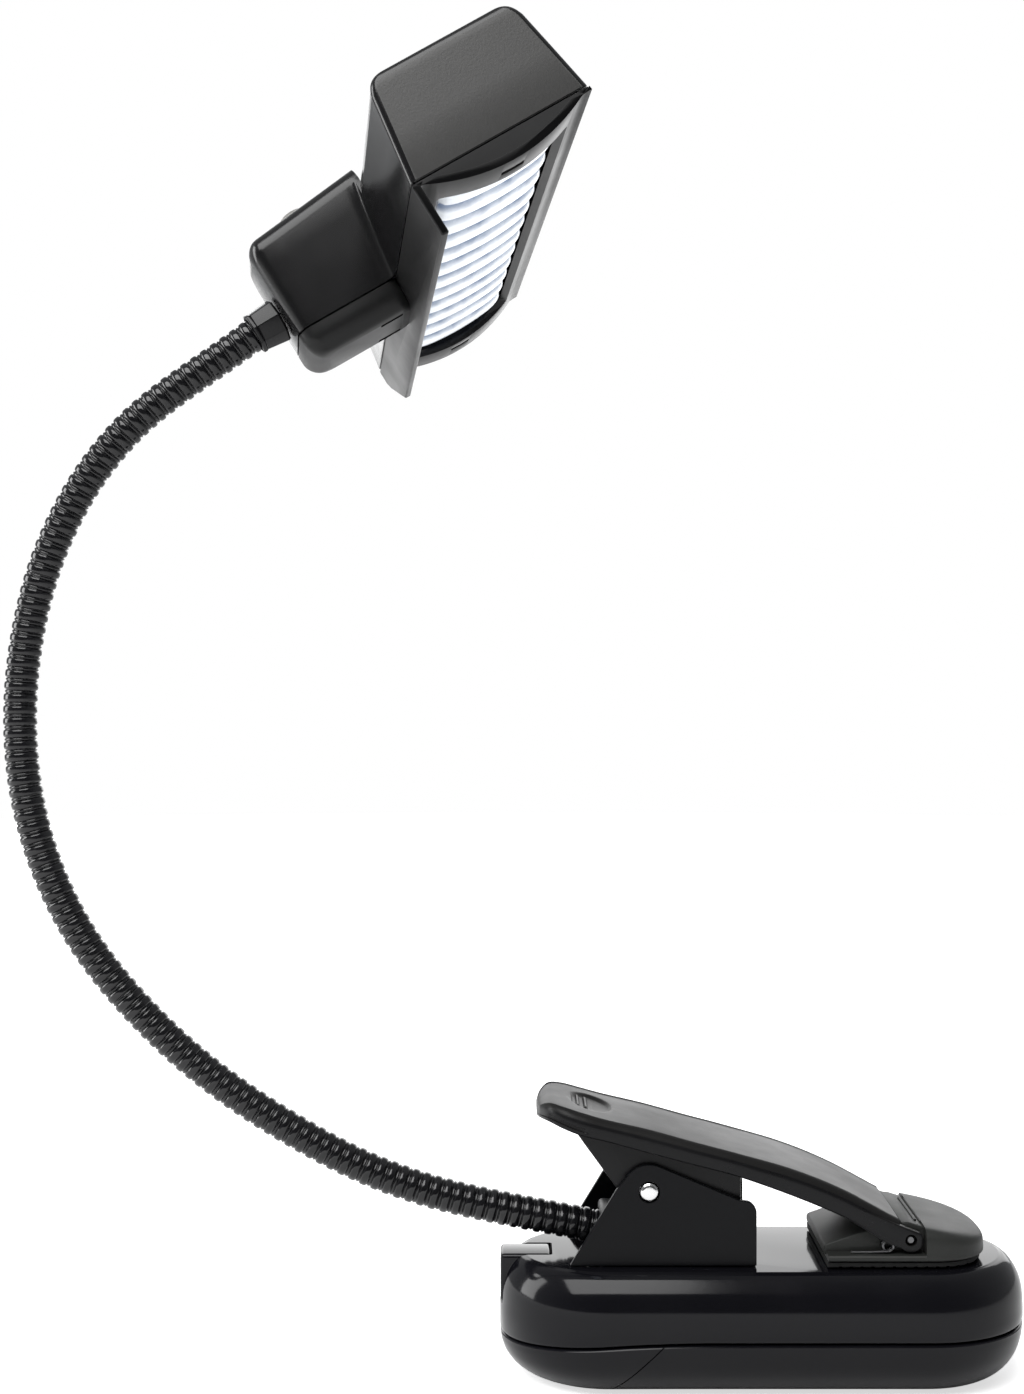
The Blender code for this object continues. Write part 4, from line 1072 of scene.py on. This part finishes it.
def collar():
    """The faceted collar between the neck's end and the head."""
    gap, length, facets, f = 0.3, 5.9, 8, NECK_AXIS_F
    high = HOUSING_LEFT - gap
    low = high - length
    profile = ((0, 3.9), (0.03, 4.15), (0.13, 4.15), (0.17, 3.95), (0.24, 4.0))
    profile = (*profile, (0.94, 4.45), (1, 4.2))
    mesh = turned((0, low, f), (0, high, f), profile, facets)
    soften(mesh, 0.22, 3, 30)
    mouth = rod((0, low - 1, f), (0, low + NECK_TAIL + 0.4, f), NECK_RADIUS + 0.2)
    mesh = combine(mesh, mouth)
    mesh = combine(mesh, rod((0, low - 2, f), (0, high + 3, f), 1.3))
    nodes = ["neck_collar"]
    piece("neck_end_collar", mesh, COLLAR_BLACK, "satin_black", "head", nodes, HEAD_PLACE, angle=28)


def button():
    """The power button: a low silvery dome."""
    stem, tip, radius = 0.7, 0.4, BUTTON_RADIUS
    profile = [(0, radius), (stem, radius)]
    for angle in range(12, 91, 13):
        turn = math.radians(angle)
        share = stem + (1 - stem) * math.sin(turn)
        profile.append((share, tip + (radius - tip) * math.cos(turn)))
    mesh = turned((0, BUTTON_W, BUTTON_FOOT_F), (0, BUTTON_W, BUTTON_TOP_F), profile, 48)
    nodes = ["power_button"]
    piece("button_dome", mesh, NICKEL, "bright_steel", "button", nodes, HEAD_PLACE, angle=40)


# ---------------------------------------------------------------- CAD nodes, floor, light, camera

FLOOR_RADIUS = 1.5
FLOOR_DROP = 0.2
CAMERA_PLACE = (-0.0477, -0.4135, 0.1363)
CAMERA_LENS = 55.52
CAMERA_SHIFT = -0.0273


def finish_cad_nodes():
    """Gives every CAD node that stays its own material."""
    finishes = (
        ("battery_spring", SPRING_STEEL),
        ("battery_tray", SATIN_BLACK),
        ("battery_", CELL),
        ("contact_plate", NICKEL),
        ("case_screw", STEEL),
        ("bracket_screw", STEEL),
        ("neck_wire", LEAD),
        ("reflector", WHITE),
        ("led_board", BOARD),
        ("led_", WHITE),
        ("switch_body", WHITE),
    )
    for name, node in NODES.items():
        if node.hide_render:
            continue
        finish = next((made for start, made in finishes if name.startswith(start)), SATIN_BLACK)
        node.data.materials.clear()
        node.data.materials.append(finish)


def area_light(name, place, target, size, radiance):
    """A rectangular softbox that faces a target, given its brightness."""
    data = bpy.data.lights.new(name, "AREA")
    data.shape = "RECTANGLE"
    data.size, data.size_y = size
    data.energy = radiance * math.pi * size[0] * size[1]
    obj = bpy.data.objects.new(name, data)
    obj.location = place
    obj.rotation_mode = "QUATERNION"
    obj.rotation_quaternion = (Vector(target) - Vector(place)).to_track_quat("-Z", "Y")
    obj.visible_camera = False
    bpy.context.collection.objects.link(obj)


def pale_floor():
    """A plain white floor with a very faint mottle."""
    made, nodes, links, shader = shader_nodes("pale_floor")
    noise = nodes.new("ShaderNodeTexNoise")
    fill(noise, Scale=3)
    shade = colour_mix(nodes, links, noise.outputs["Fac"], [0.88] * 3, [0.92] * 3)
    links.new(shade, shader.inputs["Base Color"])
    fill(shader, Roughness=0.9, Specular_IOR_Level=0.0, Emission_Color=(1, 1, 1, 1))
    path = nodes.new("ShaderNodeLightPath")
    glow = nodes.new("ShaderNodeMapRange")
    fill(glow, To_Min=0.05, To_Max=0.65)
    links.new(path.outputs["Is Camera Ray"], glow.inputs["Value"])
    links.new(glow.outputs["Result"], shader.inputs["Emission Strength"])
    floor = bmesh.new()
    bmesh.ops.create_circle(floor, cap_ends=True, radius=FLOOR_RADIUS, segments=96)
    data = bpy.data.meshes.new("floor")
    floor.to_mesh(data)
    floor.free()
    data.materials.append(made)
    obj = bpy.data.objects.new("floor", data)
    obj.location.z = -FLOOR_DROP * MM
    bpy.context.collection.objects.link(obj)


def surround():
    """The surround: white to look at; as a light it is dim, and dimmest on the camera's side."""
    world = bpy.data.worlds.new("surround")
    world.use_nodes = True
    nodes, links = world.node_tree.nodes, world.node_tree.links
    backdrop = nodes["Background"]
    fill(backdrop, Color=(1, 1, 1, 1), Strength=1.0)
    dim = nodes.new("ShaderNodeBackground")
    fill(dim, Color=(0.97, 0.985, 1, 1))
    place = nodes.new("ShaderNodeTexCoord")
    split = nodes.new("ShaderNodeSeparateXYZ")
    links.new(place.outputs["Generated"], split.inputs["Vector"])
    fall = nodes.new("ShaderNodeMapRange")
    fall.interpolation_type = "SMOOTHSTEP"
    fill(fall, From_Min=-0.95, From_Max=0.1, To_Min=0.07, To_Max=0.42)
    links.new(split.outputs["Y"], fall.inputs["Value"])
    links.new(fall.outputs["Result"], dim.inputs["Strength"])
    path = nodes.new("ShaderNodeLightPath")
    mix = nodes.new("ShaderNodeMixShader")
    links.new(path.outputs["Is Camera Ray"], mix.inputs["Fac"])
    links.new(dim.outputs["Background"], mix.inputs[1])
    links.new(backdrop.outputs["Background"], mix.inputs[2])
    links.new(mix.outputs["Shader"], nodes["World Output"].inputs["Surface"])
    bpy.context.scene.world = world


def studio():
    """The floor, the surround and three soft lights: above in front, on the left and behind."""
    pale_floor()
    surround()
    area_light("box_above", (-0.42, -0.61, 0.98), (-0.42, 0.0, 0.03), (1.0, 0.8), 6.5)
    area_light("panel_left", (-0.9, 0.1, 0.32), (-0.05, 0.0, 0.1), (0.35, 0.6), 6.5)
    area_light("panel_behind", (0.15, 1.3, 0.42), (-0.02, 0.0, 0.05), (1.5, 0.75), 1.8)
    bpy.context.scene.view_settings.view_transform = "Standard"


def camera():
    data = bpy.data.cameras.new("camera")
    data.lens = CAMERA_LENS
    data.shift_y = CAMERA_SHIFT
    obj = bpy.data.objects.new("camera", data)
    obj.location = CAMERA_PLACE
    obj.rotation_euler = (math.radians(90), 0, 0)
    bpy.context.collection.objects.link(obj)
    bpy.context.scene.camera = obj


camera()
upper_shell()
lower_shells()
inlet()
bracket()
pins()
lever()
clip_spring()
jaw()
jaw_rubber()
jaw_spring()
ferrule()
neck_lengths()
rear_shell()
front_bezel()
lens()
collar()
button()
finish_cad_nodes()
studio()
